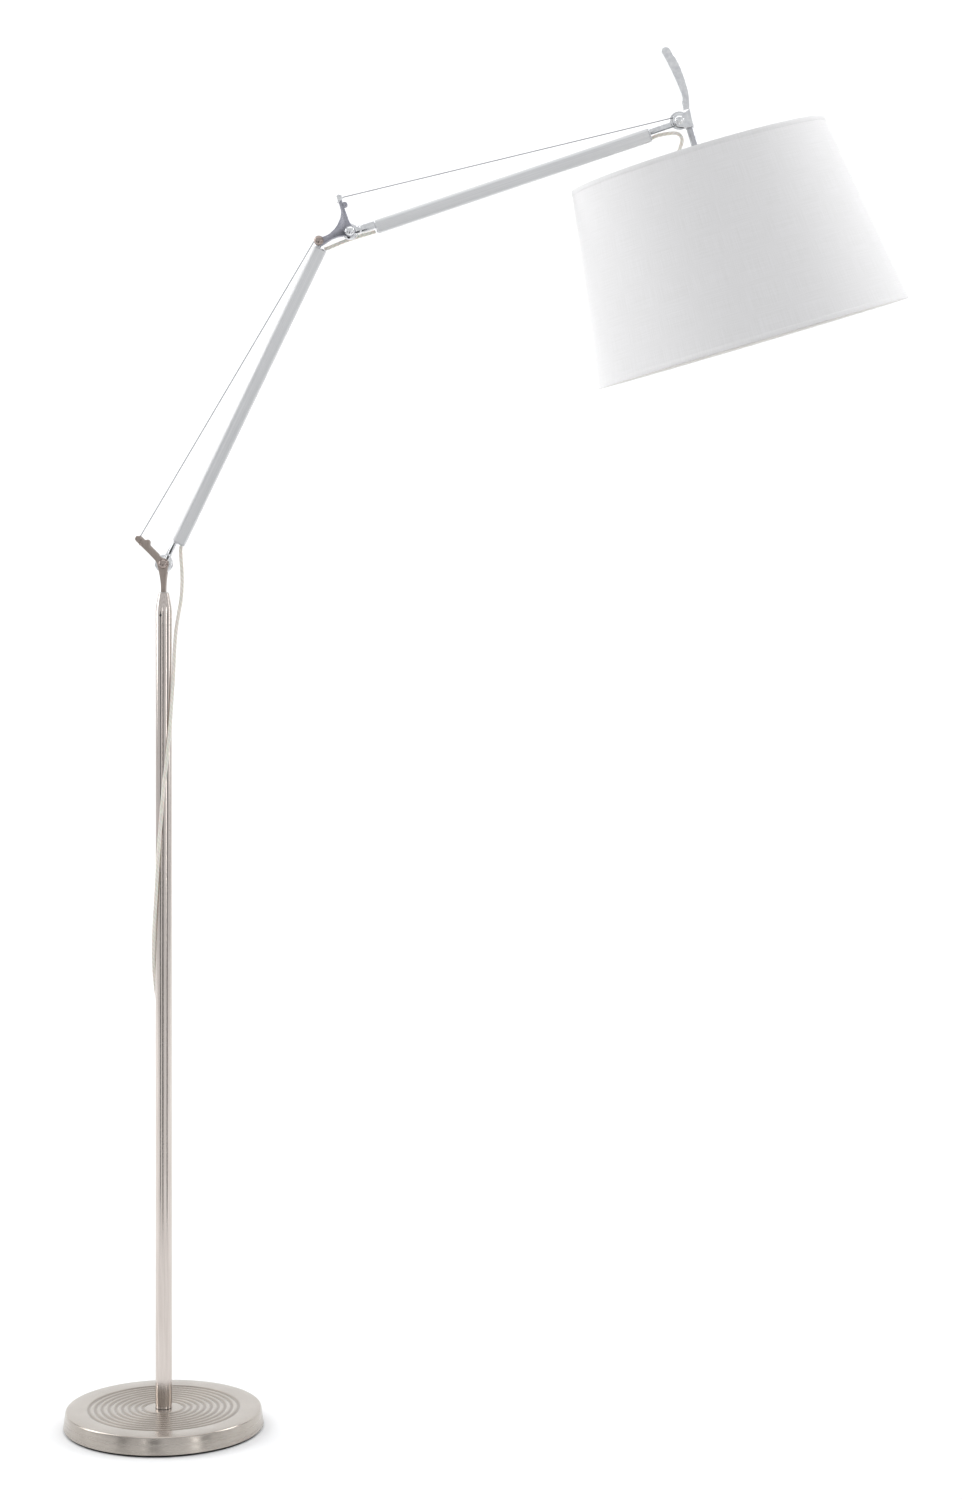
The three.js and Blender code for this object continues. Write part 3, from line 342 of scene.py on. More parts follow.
# chrome with a warm brown tint: a painted reflection of brownish surroundings, on the fork pivot and the
# lower elbow pivot
reflectionTintedChrome = platedChrome("chrome_painted_warm_reflection", "a0938d", 0.1, "b4a8a1")
brackets = blackNickel("black_nickel_bracket")
lowerSilver = silverProfile("silver_anodised_lower", lowerFrame)
upperSilver = silverProfile("silver_anodised_upper", upperFrame)
castIron = plainMetal("sand_cast_iron", "323233", "454546", 0.7, 2 * mm)
blackSteel = plainMetal("black_oxide_steel", "222223", "303032", 0.5, 2 * mm)
zinc = plainMetal("zinc_plated_steel", "a0a2a4", "b4b6b8", 0.35, 5 * mm)
wire = plainMetal("galvanised_wire", "7f8285", "97999c", 0.34, 2 * mm)
brass = plainMetal("turned_brass", "b8964a", "cfae66", 0.28, 4 * mm)
rubber = mouldedPlastic("rubber_pad", "161617", "232324", 0.85, 3 * mm, 0.08 * mm)
strap = mouldedPlastic("nylon_strap", "1d1e20", "2c2d30", 0.55, 1 * mm, 0.06 * mm)
whitePlastic = mouldedPlastic("moulded_white", "dfddd8", "ebeae6", 0.4)
powderWhite = mouldedPlastic("powder_coat_white", "e0ded9", "efede9", 0.5, 1 * mm, 0.05 * mm)
flex = clearFlex("milky_pvc_flex")
cotton = shadeCotton("shade_cotton")
opal = opalGlass("opal_glass")
print("materials made")


# modelling helpers

def deselectAll():
    for piece in bpy.context.selected_objects:
        piece.select_set(False)


def pick(piece):
    deselectAll()
    piece.select_set(True)
    bpy.context.view_layer.objects.active = piece


def startPiece(name):  # one point at the origin, in edit mode
    deselectAll()
    bpy.ops.mesh.primitive_plane_add(size=10 * mm)
    piece = bpy.context.object
    piece.name = piece.data.name = name
    bpy.ops.object.mode_set(mode="EDIT")
    bpy.ops.mesh.merge(type="CENTER")
    return piece


def drawLine(line, closed=False):
    bpy.ops.transform.translate(value=line[0])
    for start, end in zip(line, line[1:]):
        bpy.ops.mesh.extrude_vertices_move(TRANSFORM_OT_translate={"value": Vector(end) - Vector(start)})
    if closed:
        bpy.ops.mesh.select_all(action="SELECT")
        bpy.ops.mesh.edge_face_add()


def applyAll(piece):
    pick(piece)
    for modifier in list(piece.modifiers):
        bpy.ops.object.modifier_apply(modifier=modifier.name)


def settle(piece, place=world, bevel=0, segments=2, angle=35):
    # leaves edit mode, puts the piece in its place, rounds its edges and smooths it
    if bpy.context.mode != "OBJECT":
        bpy.ops.mesh.select_all(action="SELECT")
        bpy.ops.mesh.remove_doubles(threshold=1e-6)
        bpy.ops.mesh.normals_make_consistent(inside=False)
        bpy.ops.object.mode_set(mode="OBJECT")
    pick(piece)
    if bevel:
        rounding = piece.modifiers.new("rounding", "BEVEL")
        rounding.width = bevel
        rounding.segments = segments
        rounding.limit_method = "ANGLE"
        rounding.angle_limit = math.radians(angle)
        applyAll(piece)
    piece.matrix_world = place @ piece.matrix_world
    bpy.ops.object.transform_apply(location=True, rotation=True, scale=True)
    bpy.ops.object.shade_smooth_by_angle(angle=math.radians(angle))
    return piece


def turned(name, profile, place=world, steps=64, closed=False, bevel=0, angle=35):
    # a profile of (radius, height) in mm, spun round +Z
    piece = startPiece(name)
    line = [(r * mm, 0, z * mm) for r, z in profile]
    drawLine(line + line[:1] if closed else line)
    bpy.ops.mesh.select_all(action="SELECT")
    bpy.ops.mesh.spin(steps=steps, angle=2 * math.pi, center=(0, 0, 0), axis=(0, 0, 1))
    return settle(piece, place, bevel, angle=angle)


def plate(name, outline, low, high, place, bevel=0.5, segments=2, angle=35):
    # an outline of (x, z) in mm, with its thickness along Y
    piece = startPiece(name)
    drawLine([(x * mm, low * mm, z * mm) for x, z in outline], closed=True)
    bpy.ops.mesh.extrude_region_move(TRANSFORM_OT_translate={"value": (0, (high - low) * mm, 0)})
    return settle(piece, place, bevel * mm, segments, angle)


def bar(name, outline, low, high, place, bevel=0.3, segments=2, angle=35):
    # an outline of (x, y) in mm, with its length along Z
    piece = startPiece(name)
    drawLine([(x * mm, y * mm, low * mm) for x, y in outline], closed=True)
    bpy.ops.mesh.extrude_region_move(TRANSFORM_OT_translate={"value": (0, 0, (high - low) * mm)})
    return settle(piece, place, bevel * mm, segments, angle)


def joined(name, pieces):
    pick(pieces[0])
    for piece in pieces[1:]:
        piece.select_set(True)
    bpy.ops.object.join()
    pieces[0].name = pieces[0].data.name = name
    return pieces[0]


def cutWith(piece, cutter):
    pick(piece)
    cut = piece.modifiers.new("cut", "BOOLEAN")
    cut.operation = "DIFFERENCE"
    cut.solver = "EXACT"
    cut.object = cutter
    bpy.ops.object.modifier_apply(modifier=cut.name)
    bpy.data.objects.remove(cutter)
    return piece


def arc(x, z, radius, start, end, steps):
    turns = [math.radians(start + (end - start) * i / steps) for i in range(steps + 1)]
    return [(x + radius * math.cos(turn), z + radius * math.sin(turn)) for turn in turns]


def softened(corners, radius, closed=True, steps=4):  # sharp corners of an outline, each as a short curve
    line = []
    for i, corner in enumerate(corners):
        here = Vector(corner)
        if not closed and i in (0, len(corners) - 1):
            line.append(tuple(here))
            continue
        before = Vector(corners[i - 1]) - here
        after = Vector(corners[(i + 1) % len(corners)]) - here
        reach = min(radius, 0.49 * before.length, 0.49 * after.length)
        first, last = here + before.normalized() * reach, here + after.normalized() * reach
        for k in range(steps + 1):
            t = k / steps
            line.append(tuple(first * (1 - t) ** 2 + here * 2 * t * (1 - t) + last * t * t))
    return line


def curved(points, steps=8):  # a smooth line through points of any dimension
    knots = [Vector(p) for p in points]
    knots = [2 * knots[0] - knots[1], *knots, 2 * knots[-1] - knots[-2]]
    line = []
    for a, b, c, d in zip(knots, knots[1:], knots[2:], knots[3:]):
        spans = [max((q - p).length, 1e-9) ** 0.5 for p, q in ((a, b), (b, c), (c, d))]
        out = ((b - a) / spans[0] - (c - a) / (spans[0] + spans[1]) + (c - b) / spans[1]) * spans[1]
        into = ((c - b) / spans[1] - (d - b) / (spans[1] + spans[2]) + (d - c) / spans[2]) * spans[1]
        for k in range(steps):
            t = k / steps
            line.append(b * (2 * t**3 - 3 * t**2 + 1) + out * (t**3 - 2 * t**2 + t)
                        + c * (3 * t**2 - 2 * t**3) + into * (t**3 - t**2))
    line.append(knots[-2])
    return [tuple(p) for p in line]


def fit(piece, body, material, slot, *nodes):
    piece.data.materials.clear()
    piece.data.materials.append(material)
    if body:
        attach(piece, body)
    if nodes:
        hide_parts(*nodes)
    return piece


# flat twin flex

twinFlex = {"width": 5.6 * mm, "thick": 2.8 * mm}


def evenly(line, step):
    line = [Vector(p) for p in line]
    spans = [(b - a).length for a, b in zip(line, line[1:])]
    count = max(2, round(sum(spans) / step))
    pitch = sum(spans) / count
    result, walked, i = [line[0]], 0.0, 0
    for k in range(1, count):
        while walked + spans[i] < k * pitch:
            walked += spans[i]
            i += 1
        result.append(line[i].lerp(line[i + 1], (k * pitch - walked) / spans[i]))
    return result + [line[-1]]


def twinSection(half):  # two round cores side by side with a dip between them
    core = twinFlex["thick"] / 2
    spread = half - core
    right = arc(spread, 0, core, -132, 132, 9)
    left = arc(-spread, 0, core, 48, 312, 9)
    return right + left


def flexAlong(name, line, wideAt, halfWidth=twinFlex["width"] / 2):
    # a flex of two cores that follows a line; wideAt says which way its flat side runs
    section = twinSection(halfWidth)
    vertices, faces = [], []
    count = len(section)
    for i, point in enumerate(line):
        ahead = (line[min(i + 1, len(line) - 1)] - line[max(i - 1, 0)]).normalized()
        wide = wideAt(i / (len(line) - 1), point, ahead)
        wide = (wide - ahead * wide.dot(ahead)).normalized()
        thick = ahead.cross(wide)
        vertices += [point + wide * x + thick * y for x, y in section]
    for ring in range(len(line) - 1):
        for k in range(count):
            a, b = ring * count + k, ring * count + (k + 1) % count
            faces.append((a, b, b + count, a + count))
    faces.append(tuple(range(count))[::-1])
    faces.append(tuple(len(vertices) - count + k for k in range(count)))
    mesh = bpy.data.meshes.new(name)
    mesh.from_pydata(vertices, [], faces)
    piece = bpy.data.objects.new(name, mesh)
    bpy.context.scene.collection.objects.link(piece)
    layer = mesh.uv_layers.new(name="along")
    pitch = (line[1] - line[0]).length
    for polygon in mesh.polygons:
        for loop in polygon.loop_indices:
            ring, k = divmod(mesh.loops[loop].vertex_index, count)
            layer.data[loop].uv = (ring * pitch, k * 0.8 * mm)
    pick(piece)
    bpy.ops.object.mode_set(mode="EDIT")
    bpy.ops.mesh.select_all(action="SELECT")
    bpy.ops.mesh.normals_make_consistent(inside=False)
    bpy.ops.object.mode_set(mode="OBJECT")
    bpy.ops.object.shade_smooth_by_angle(angle=math.radians(50))
    return piece


# power cord: down beside the pole, over the back of the base and into a hank on the floor

powerCord = {
    "hankCentre": (-8, 173), "hankRun": 85, "innerRadius": 17, "outerRadius": 19.9,
    "lowTurn": 4.0, "highTurn": 9.6, "step": 3.0, "length": 2.52,
}
cordRoute = [
    [26.1, 6.1, 1321.3], [25.2, 6.1, 1319.2], [24.8, 6.1, 1314], [25.6, 5.8, 1300], [27, 5, 1281],
    [27.2, 4, 1262], [25.6, 2.4, 1240], [22.4, 0.6, 1220],
    [18.9, -1.4, 1197], [16.9, -3.6, 1170], [15.2, -6.4, 1128], [12.2, -9.6, 1076], [8.2, -13, 1024],
    [0.8, -15.4, 955], [-6.6, -14, 861], [-11.4, -10.6, 785], [-14.6, -5.4, 735], [-15.2, 2.4, 690],
    [-12, 9.8, 648], [-5.4, 14.6, 602], [-1, 15.6, 555], [0, 15.6, 420], [0, 15.6, 280], [0, 15.6, 150],
    [-0.3, 16.6, 78], [-0.9, 22, 53], [-2, 33, 38], [-3.4, 48, 32], [-6.2, 76, 31.4], [-10, 114, 31.4],
    [-12.4, 138, 31.6], [-13.6, 150, 30.6], [-15, 161, 25.4], [-16, 169, 19], [-16.6, 174, 15.6],
]
hankEntry = [[-18.6, 180.6, 9.6], [-22.6, 186, 5.6]]
tailRoute = [[49, 153, 4.6], [55, 153.8, 5.2], [61, 154.4, 6], [67, 153.6, 6.6], [71.5, 152.2, 6.8]]


def hankTurns():
    # turns of the hank, as [x, y, z]: bottom inner, top inner, top outer, bottom outer
    centreX, centreY = powerCord["hankCentre"]
    half = powerCord["hankRun"] / 2
    low, high = powerCord["lowTurn"], powerCord["highTurn"]
    inner, outer = powerCord["innerRadius"], powerCord["outerRadius"]
    lap = [(inner, low), (inner, high), (outer, high), (outer, low)]
    turns = []
    for number, (radius, height) in enumerate(lap):
        if number:
            turns.append([centreX - half + 18, centreY + radius, height])
        turns.append([centreX - half + 6, centreY + radius, height])
        turns += [[x, y, height] for x, y in arc(centreX - half, centreY, radius, 90, 270, 12)]
        steps = 5
        turns += [[centreX - half + 2 * half * k / steps, centreY - radius, height]
                  for k in range(1, steps)]
        if number == len(lap) - 1:
            break
        turns += [[x, y, height] for x, y in arc(centreX + half, centreY, radius, -90, 90, 12)]
        turns.append([centreX + half - 14, centreY + radius, height])
    return turns


def makePowerCord():
    points = cordRoute + hankEntry + hankTurns() + tailRoute
    line = evenly(curved([[c * mm for c in p] for p in points], 6), powerCord["step"] * mm)
    hankLow = 17 * mm

    def wideAt(share, point, ahead):
        # across the view beside the pole, flat over the base, on edge in the hank
        edge = min(1, max(0, (point.y - 0.145) / 0.025)) * min(1, max(0, (0.034 - point.z) / hankLow))
        return Vector((1, 0, 0)).lerp(Vector((0, 0, 1)), edge)

    cord = flexAlong("power_flex", line, wideAt)
    fit(cord, None, flex, "clear_cord", "power_cord", "cord_hank", "cord_tail")
    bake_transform(cord)
    length = sum((b - a).length for a, b in zip(line, line[1:]))
    print("power cord", round(length, 3), "m")
    return cord, line


cord, cordLine = makePowerCord()


def makeStudio():
    backdrop = {"floor": "f4f4f4", "width": 9, "front": -6.5, "back": 3.2, "height": 6.0, "corner": 1.6}
    # one sheet of paper: a floor that curves up into a wall behind the lamp
    piece = startPiece("backdrop")
    half = backdrop["width"] / 2
    bend = arc(backdrop["back"] - backdrop["corner"], backdrop["corner"], backdrop["corner"], -90, 0, 16)
    line = [(backdrop["front"], 0), *bend, (backdrop["back"], backdrop["height"])]
    drawLine([(-half, y, z) for y, z in line])
    bpy.ops.mesh.select_all(action="SELECT")
    bpy.ops.mesh.extrude_edges_move(TRANSFORM_OT_translate={"value": (2 * half, 0, 0)})
    bpy.ops.object.mode_set(mode="OBJECT")
    bpy.ops.object.shade_smooth()
    paper, shader = newMaterial("paper_backdrop", Roughness=0.9)
    shader.inputs["Base Color"].default_value = paint(backdrop["floor"])
    piece.data.materials.append(paper)

    # black cards round the front: along the floor and up, seen only as the dark bands in the metal
    # each card: its heading from the viewer's side and its width, in degrees
    cards = {"left": (-30, 11), "centre": (9, 15), "right": (66, 13)}
    near, far, high = 1.35, 6.0, 1.6
    black, shader = newMaterial("black_card", Roughness=0.8)
    shader.inputs["Base Color"].default_value = paint("121212")
    for name, (heading, width) in cards.items():
        panel = startPiece("card_" + name)
        turn = math.radians(heading - width / 2 - 90)
        drawLine([(near * math.cos(turn), near * math.sin(turn), 4 * mm),
                  (far * math.cos(turn), far * math.sin(turn), 4 * mm),
                  (far * math.cos(turn), far * math.sin(turn), high)])
        bpy.ops.mesh.select_all(action="SELECT")
        bpy.ops.mesh.spin(steps=4, angle=math.radians(width), center=(0, 0, 0), axis=(0, 0, 1))
        bpy.ops.object.mode_set(mode="OBJECT")
        panel.data.materials.append(black)

    softboxes = {
        "key": {"at": (-3.9, 0.5, 2.3), "to": (0.2, 0, 1.3), "size": (1.5, 3.0), "watts": 46},
        "right": {"at": (3.9, 0.3, 2.0), "to": (0.1, 0, 1.2), "size": (0.8, 3.0), "watts": 12},
        "stripLeft": {"at": (-1.55, -6.3, 1.2), "to": (0, 0, 1.0), "size": (0.7, 2.4), "watts": 9},
        "stripRight": {"at": (4.0, -4.45, 1.2), "to": (0, 0, 1.0), "size": (0.7, 2.4), "watts": 14},
        "top": {"at": (0.4, -0.2, 4.6), "to": (0.4, 0.2, 0), "size": (4.4, 3.4), "watts": 32},
        "backLeft": {"at": (-2.6, 1.3, 3.8), "to": (0.4, 3.2, 1.0), "size": (1.8, 1.8), "watts": 46},
        "backRight": {"at": (3.6, 1.3, 3.8), "to": (0.8, 3.2, 1.0), "size": (1.8, 1.8), "watts": 46},
    }
    for name, box in softboxes.items():
        data = bpy.data.lights.new("softbox_" + name, "AREA")
        data.shape = "RECTANGLE"
        data.size, data.size_y = box["size"]
        data.energy = box["watts"]
        light = bpy.data.objects.new("softbox_" + name, data)
        light.location = box["at"]
        aim = Vector(box["to"]) - Vector(box["at"])
        light.rotation_euler = aim.to_track_quat("-Z", "Y").to_euler()
        bpy.context.scene.collection.objects.link(light)

    room = bpy.data.worlds.new("studio")
    bpy.context.scene.world = room
    room.use_nodes = True
    room.node_tree.nodes["Background"].inputs["Color"].default_value = (0.9, 0.91, 0.93, 1)
    room.node_tree.nodes["Background"].inputs["Strength"].default_value = 0.8
    bpy.context.scene.view_settings.view_transform = "Standard"


makeStudio()
print("studio made")


# base and pole

base = {
    "radius": 149.6, "shoulder": 146.6, "height": 29, "edge": 3.5, "wall": 1.4, "padHeight": 2.5,
    "padInset": 3, "boreRadius": 12.7,
}
pole = {"radius": 12.5, "wall": 1.5, "seam": 1203, "sleeve": 21, "top": 1251, "neck": 7.75, "bore": 4.3}


def makeBase():
    top = base["height"]
    pressed = []
    steps = ridges["steps"]
    last = ridges["count"] * steps
    for i in range(last + 1):
        crest = (0.5 + 0.5 * math.cos(2 * math.pi * i / steps)) ** 1.5
        fade = min(1, i / 3, (last - i) / 3)  # the rings start and end softly
        pressed.append((ridges["first"] + ridges["pitch"] * i / steps,
                        top - ridges["depth"] * fade * (1 - crest)))
    edge, shoulder = base["edge"], base["shoulder"]
    rim = arc(shoulder - edge, top - edge, edge, 84, 6, 8)
    foot = [(base["radius"], base["padHeight"] + 1.3), (base["radius"] - 0.5, base["padHeight"] + 0.6),
            (base["radius"] - base["wall"], base["padHeight"] + 0.4)]
    inside = [(shoulder - base["wall"], top - edge), (shoulder - edge - 1, top - base["wall"] - 0.8),
              (base["boreRadius"], top - base["wall"] - 0.8)]
    profile = [(base["boreRadius"], top), *pressed, (128, top), *rim, *foot, *inside]
    cover = turned("base_shell", profile, steps=180, closed=True, angle=40)
    fit(cover, "stand", baseNickel, "satin_nickel", "base_cover")

    padRadius = base["radius"] - base["padInset"]
    padProfile = [(0, 0), (padRadius - 0.8, 0), (padRadius, 0.7), (padRadius, base["padHeight"] - 0.4),
                  (padRadius - 0.4, base["padHeight"]), (0, base["padHeight"])]
    pad = turned("foot_pad", padProfile, steps=120)
    fit(pad, "stand", rubber, "black_rubber", "base_pad")


def makePole():
    radius, inner, seam = pole["radius"], pole["radius"] - pole["wall"], pole["seam"]
    low = base["height"] + 0.3
    tubeProfile = [(inner, low), (radius - 0.3, low), (radius, low + 0.3), (radius, low + 60),
                   (radius, seam - 60), (radius, seam - 0.15), (radius - 0.15, seam), (inner, seam)]
    tube = turned("pole_pipe", tubeProfile, steps=96, closed=True)
    fit(tube, "stand", poleNickel, "satin_nickel", "pole_tube")

    coneFoot = seam + pole["sleeve"]
    cone = curved([(radius, coneFoot), (radius - 0.7, coneFoot + 7), (radius - 2.4, coneFoot + 16),
                   (pole["neck"] + 0.5, pole["top"] - 1)], 5)
    headProfile = [(pole["bore"], seam - 25), (inner - 0.3, seam - 25), (inner - 0.3, seam + 0.3),
                   (radius - 0.2, seam + 0.3), (radius, seam + 0.5), *cone, (pole["neck"], pole["top"]),
                   (pole["bore"], pole["top"])]
    cap = turned("pole_cone", headProfile, steps=96, closed=True)
    grub = {"radius": 2.0, "depth": 9, "height": pole["top"] - 33, "azimuth": math.radians(-106)}
    deselectAll()
    reach = Vector((math.cos(grub["azimuth"]), math.sin(grub["azimuth"]), 0)) * radius * mm
    bpy.ops.mesh.primitive_cylinder_add(vertices=24, radius=grub["radius"] * mm, depth=grub["depth"] * mm,
                                        location=reach + Vector((0, 0, grub["height"] * mm)),
                                        rotation=(0, math.pi / 2, grub["azimuth"]))
    cap = cutWith(cap, bpy.context.object)
    pick(cap)
    bpy.ops.object.shade_smooth_by_angle(angle=math.radians(35))
    fit(cap, "stand", poleNickel, "satin_nickel", "pole_head")
    facing = Matrix.Rotation(grub["azimuth"], 4, "Z") @ Matrix.Rotation(math.pi / 2, 4, "Y")
    seat = Matrix.Translation((0, 0, grub["height"] * mm)) @ facing
    screwProfile = [(0, radius - 4.4), (1.9, radius - 4.4), (1.9, radius - 1.5), (1.6, radius - 1.2),
                    (1.1, radius - 1.2), (1.0, radius - 1.5), (1.0, radius - 3), (0, radius - 3.2)]
    screw = turned("cone_set_screw", screwProfile, seat, steps=24)
    fit(screw, "stand", blackSteel, "satin_nickel", "pole_head")


makeBase()
makePole()
print("base and pole made")


# pivots: a domed bolt from the front and a domed cap nut behind

facingViewer = Matrix.Rotation(math.pi / 2, 4, "X")  # turns a spun piece's +Z to the viewer's side
facingBack = Matrix.Rotation(-math.pi / 2, 4, "X")
cheek = {"inner": 4.6, "outer": 8.6, "gap": 0.3}
bolt = {"pin": 3.0, "radius": 7.3, "rise": 4.4, "rim": 0.8, "slot": 1.5, "slotLength": 6.6,
        "slotDepth": 1.7}


def dome(radius, low, rise):
    turns = [math.radians(a) for a in range(0, 91, 9)]
    return [(radius * math.cos(turn), low + rise * math.sin(turn)) for turn in turns]


def makeBolt(name, place, body, node, recess, material):
    face = cheek["outer"] + cheek["gap"]
    rim = face + bolt["rim"]
    profile = [(0, -face - 2.4), (bolt["pin"] - 0.3, -face - 2.4), (bolt["pin"], -face - 2.1),
               (bolt["pin"], face),
               (bolt["radius"] - 0.2, face), (bolt["radius"], face + 0.2), (bolt["radius"], rim - 0.2),
               (bolt["radius"] - 0.2, rim), (bolt["radius"] - 0.5, rim),
               *dome(bolt["radius"] - 0.6, rim, bolt["rise"] - bolt["rim"])]
    head = turned(name, profile, place @ facingViewer, steps=48, angle=30)
    if recess:
        top = face + bolt["rise"]
        for turn in (20, 110):  # a cross recess, left part turned as a fitter would
            deselectAll()
            bpy.ops.mesh.primitive_cube_add(size=1)
            cutter = bpy.context.object
            cutter.scale = (bolt["slotLength"] * mm, bolt["slot"] * mm, 2 * bolt["slotDepth"] * mm)
            local = Matrix.Translation((0, 0, top * mm)) @ Matrix.Rotation(math.radians(turn), 4, "Z")
            scaled = Matrix.Diagonal((*cutter.scale, 1))
            cutter.matrix_world = place @ facingViewer @ local @ scaled
            head = cutWith(head, cutter)
        pick(head)
        bpy.ops.object.shade_smooth_by_angle(angle=math.radians(30))
    fit(head, body, material, "polished_chrome", node)


def makeCapNut(name, place, body, node):
    face = cheek["outer"] + cheek["gap"]
    across = bolt["radius"] - 0.2
    base = turned(name + "_hex", [(0, face), (across - 0.5, face), (across, face + 0.4),
                                  (across, face + 2.0),
                                  (across - 0.7, face + 2.4), (0, face + 2.4)], place @ facingBack, steps=6)
    crown = turned(name, [(0, face + 1.6), (5.9, face + 1.6), *dome(5.9, face + 2.2, bolt["rise"] - 2.2)],
                   place @ facingBack, steps=40)
    fit(joined(name, [crown, base]), body, chrome, "polished_chrome", node)


def makePivots():
    knee = elbowFrame @ Matrix.Translation((0, 0, (kneePivot - elbowPivot).length))
    # the fork pivot and the lower elbow pivot take the chrome with the painted warm reflection
    rows = [("lower_pivot", forkFrame, "fork", False, reflectionTintedChrome),
            ("elbow_lower_pivot", elbowFrame, "elbow", True, reflectionTintedChrome),
            ("elbow_upper_pivot", knee, "elbow", True, chrome),
            ("head_pivot", headFrame, "head", True, chrome)]
    for node, place, body, recess, material in rows:
        makeBolt(node + "_screw", place, body, node + "_bolt", recess, material)
        makeCapNut(node + "_crown_nut", place, body, node + "_cap_nut")


makePivots()
print("pivots made")


# fork and its lever

fork = {
    "lean": -45, "length": 52.5, "width": 9.5, "lobe": 4.6, "lobeAlong": 39.7, "low": -42.4,
    "slotFloor": -14.8,
    "hub": 8, "footDepth": 7.6, "spigotLow": -96,
}


def leverPoint(along, across):  # on the fork's lever: along it from the pivot, and towards its upper side
    lean = math.radians(fork["lean"])
    return (along * math.sin(lean) + across * math.cos(lean),
            along * math.cos(lean) - across * math.sin(lean))


def forkOutline():
    half = fork["width"] / 2
    lobe = leverPoint(fork["lobeAlong"], half)
    tip = leverPoint(fork["length"], 0)
    right = curved([(3.5, fork["low"]), (3.7, -35), (4.5, -24), (5.5, -15), (7.3, -4)], 5)
    upper = [leverPoint(11, half), leverPoint(20, half), leverPoint(fork["lobeAlong"] - 7, half),
             leverPoint(fork["lobeAlong"] - 5, half + 0.6)]
    beyond = [leverPoint(fork["lobeAlong"] + 5, half + 0.5), leverPoint(fork["lobeAlong"] + 6.5, half)]
    left = curved([leverPoint(fork["length"] - 6, -half), leverPoint(20, -half), (-10.6, 2.6), (-8.3, -5),
                   (-6.3, -13.5), (-4.5, -24), (-3.6, -34), (-3.5, fork["low"])], 5)
    return [*right, *arc(0, 0, fork["hub"], -20, 96, 10), *upper, *arc(*lobe, fork["lobe"], -28, 118, 8),
            *beyond,
            *arc(*tip, half, 45, 225, 10), *left]


def makeSmallScrew(name, place, radius, low, rise):
    profile = [(0, low - 1), (radius, low - 1), (radius, low + 0.3), *dome(radius - 0.2, low + 0.4, rise)]
    return turned(name, profile, place @ facingViewer, steps=24)


def makeAnchor(name, place, body, node, material, slot, screwAt):
    # the rivet at a lever's tip: a hexagon in front and a formed head behind, and a small screw beside it
    face = cheek["outer"]
    hexagon = turned(name, [(0, face), (4.6, face), (5.0, face + 0.4), (5.0, face + 2.6), (4.4, face + 3.1),
                            (2.4, face + 3.1), (2.2, face + 2.5), (0, face + 2.5)], place @ facingViewer,
                            steps=6)
    shank = turned(name + "_shank", [(0, -face - 1), (2.3, -face - 1), (2.3, face + 1), (0, face + 1)],
                   place @ facingViewer, steps=20)
    tail = turned(name + "_tail", [(0, face), (4.0, face), *dome(4.0, face + 0.3, 1.4)], place @ facingBack,
                  steps=24)
    x, z = screwAt
    screw = makeSmallScrew(name + "_screw", place @ Matrix.Translation((x * mm, 0, z * mm)), 2.3, face, 1.6)
    fit(joined(name, [hexagon, shank, tail, screw]), body, material, slot, node)


def makeFork():
    body = plate("lever_fork", forkOutline(), -cheek["outer"], cheek["outer"], forkFrame, 0.7, 3, 40)
    side = [(-fork["footDepth"], fork["low"] - 1), (fork["footDepth"], fork["low"] - 1),
            (cheek["outer"] + 1, fork["low"] + 12), (cheek["outer"] + 1, 60), (-cheek["outer"] - 1, 60),
            (-cheek["outer"] - 1, fork["low"] + 12)]
    trim = plate("fork_trim", side, -60, 60, forkFrame @ Matrix.Rotation(math.pi / 2, 4, "Z"), 0)
    pick(body)
    cut = body.modifiers.new("trim", "BOOLEAN")
    cut.operation = "INTERSECT"
    cut.solver = "EXACT"
    cut.object = trim
    bpy.ops.object.modifier_apply(modifier=cut.name)
    bpy.data.objects.remove(trim)
    slot = [(-70, fork["slotFloor"]), (70, fork["slotFloor"]), (70, 70), (-70, 70)]
    slotCutter = plate("fork_slot", slot, -cheek["inner"], cheek["inner"], forkFrame, 0)
    body = cutWith(body, slotCutter)
    pick(body)
    bpy.ops.object.shade_smooth_by_angle(angle=math.radians(35))
    lobeX, lobeZ = leverPoint(fork["lobeAlong"], fork["width"] / 2)
    place = forkFrame @ Matrix.Translation((lobeX * mm, 0, lobeZ * mm)) @ facingViewer
    spacer = turned("fork_spacer", [(0, -5), (3.2, -5), (3.2, 5), (0, 5)], place, steps=24)
    pinHead = turned("fork_spacer_pin", [(0, 8.2), (1.5, 8.2), (1.5, 8.8), *dome(1.4, 8.8, 0.5)], place,
                     steps=20)
    spigot = turned("fork_spigot", [(0, fork["spigotLow"]), (3.4, fork["spigotLow"]),
                                    (4, fork["spigotLow"] + 0.6),
                                    (4, fork["low"] + 1), (0, fork["low"] + 1)], forkFrame, steps=32)
    fit(joined("lever_fork", [body, spacer, pinHead, spigot]), "fork", forkNickel, "satin_nickel", "fork")
    tip = leverPoint(fork["length"] + 0.6, 0)
    screw = leverPoint(fork["length"] - 7.6, -3.2)
    place = forkFrame @ Matrix.Translation((tip[0] * mm, 0, tip[1] * mm))
    makeAnchor("fork_tip_nut", place, "fork", "lower_rivet", forkNickel, "polished_chrome",
               (screw[0] - tip[0], screw[1] - tip[1]))

    collar = turned("swivel_ring", [(4.3, -43.6), (7.4, -43.6), (7.75, -43.3), (7.75, -43.0), (7.4, -42.75),
                                    (4.3, -42.75)], forkFrame, steps=48, closed=True)
    fit(collar, "fork", whitePlastic, "white_plastic", "swivel_washer")


makeFork()
print("fork made")


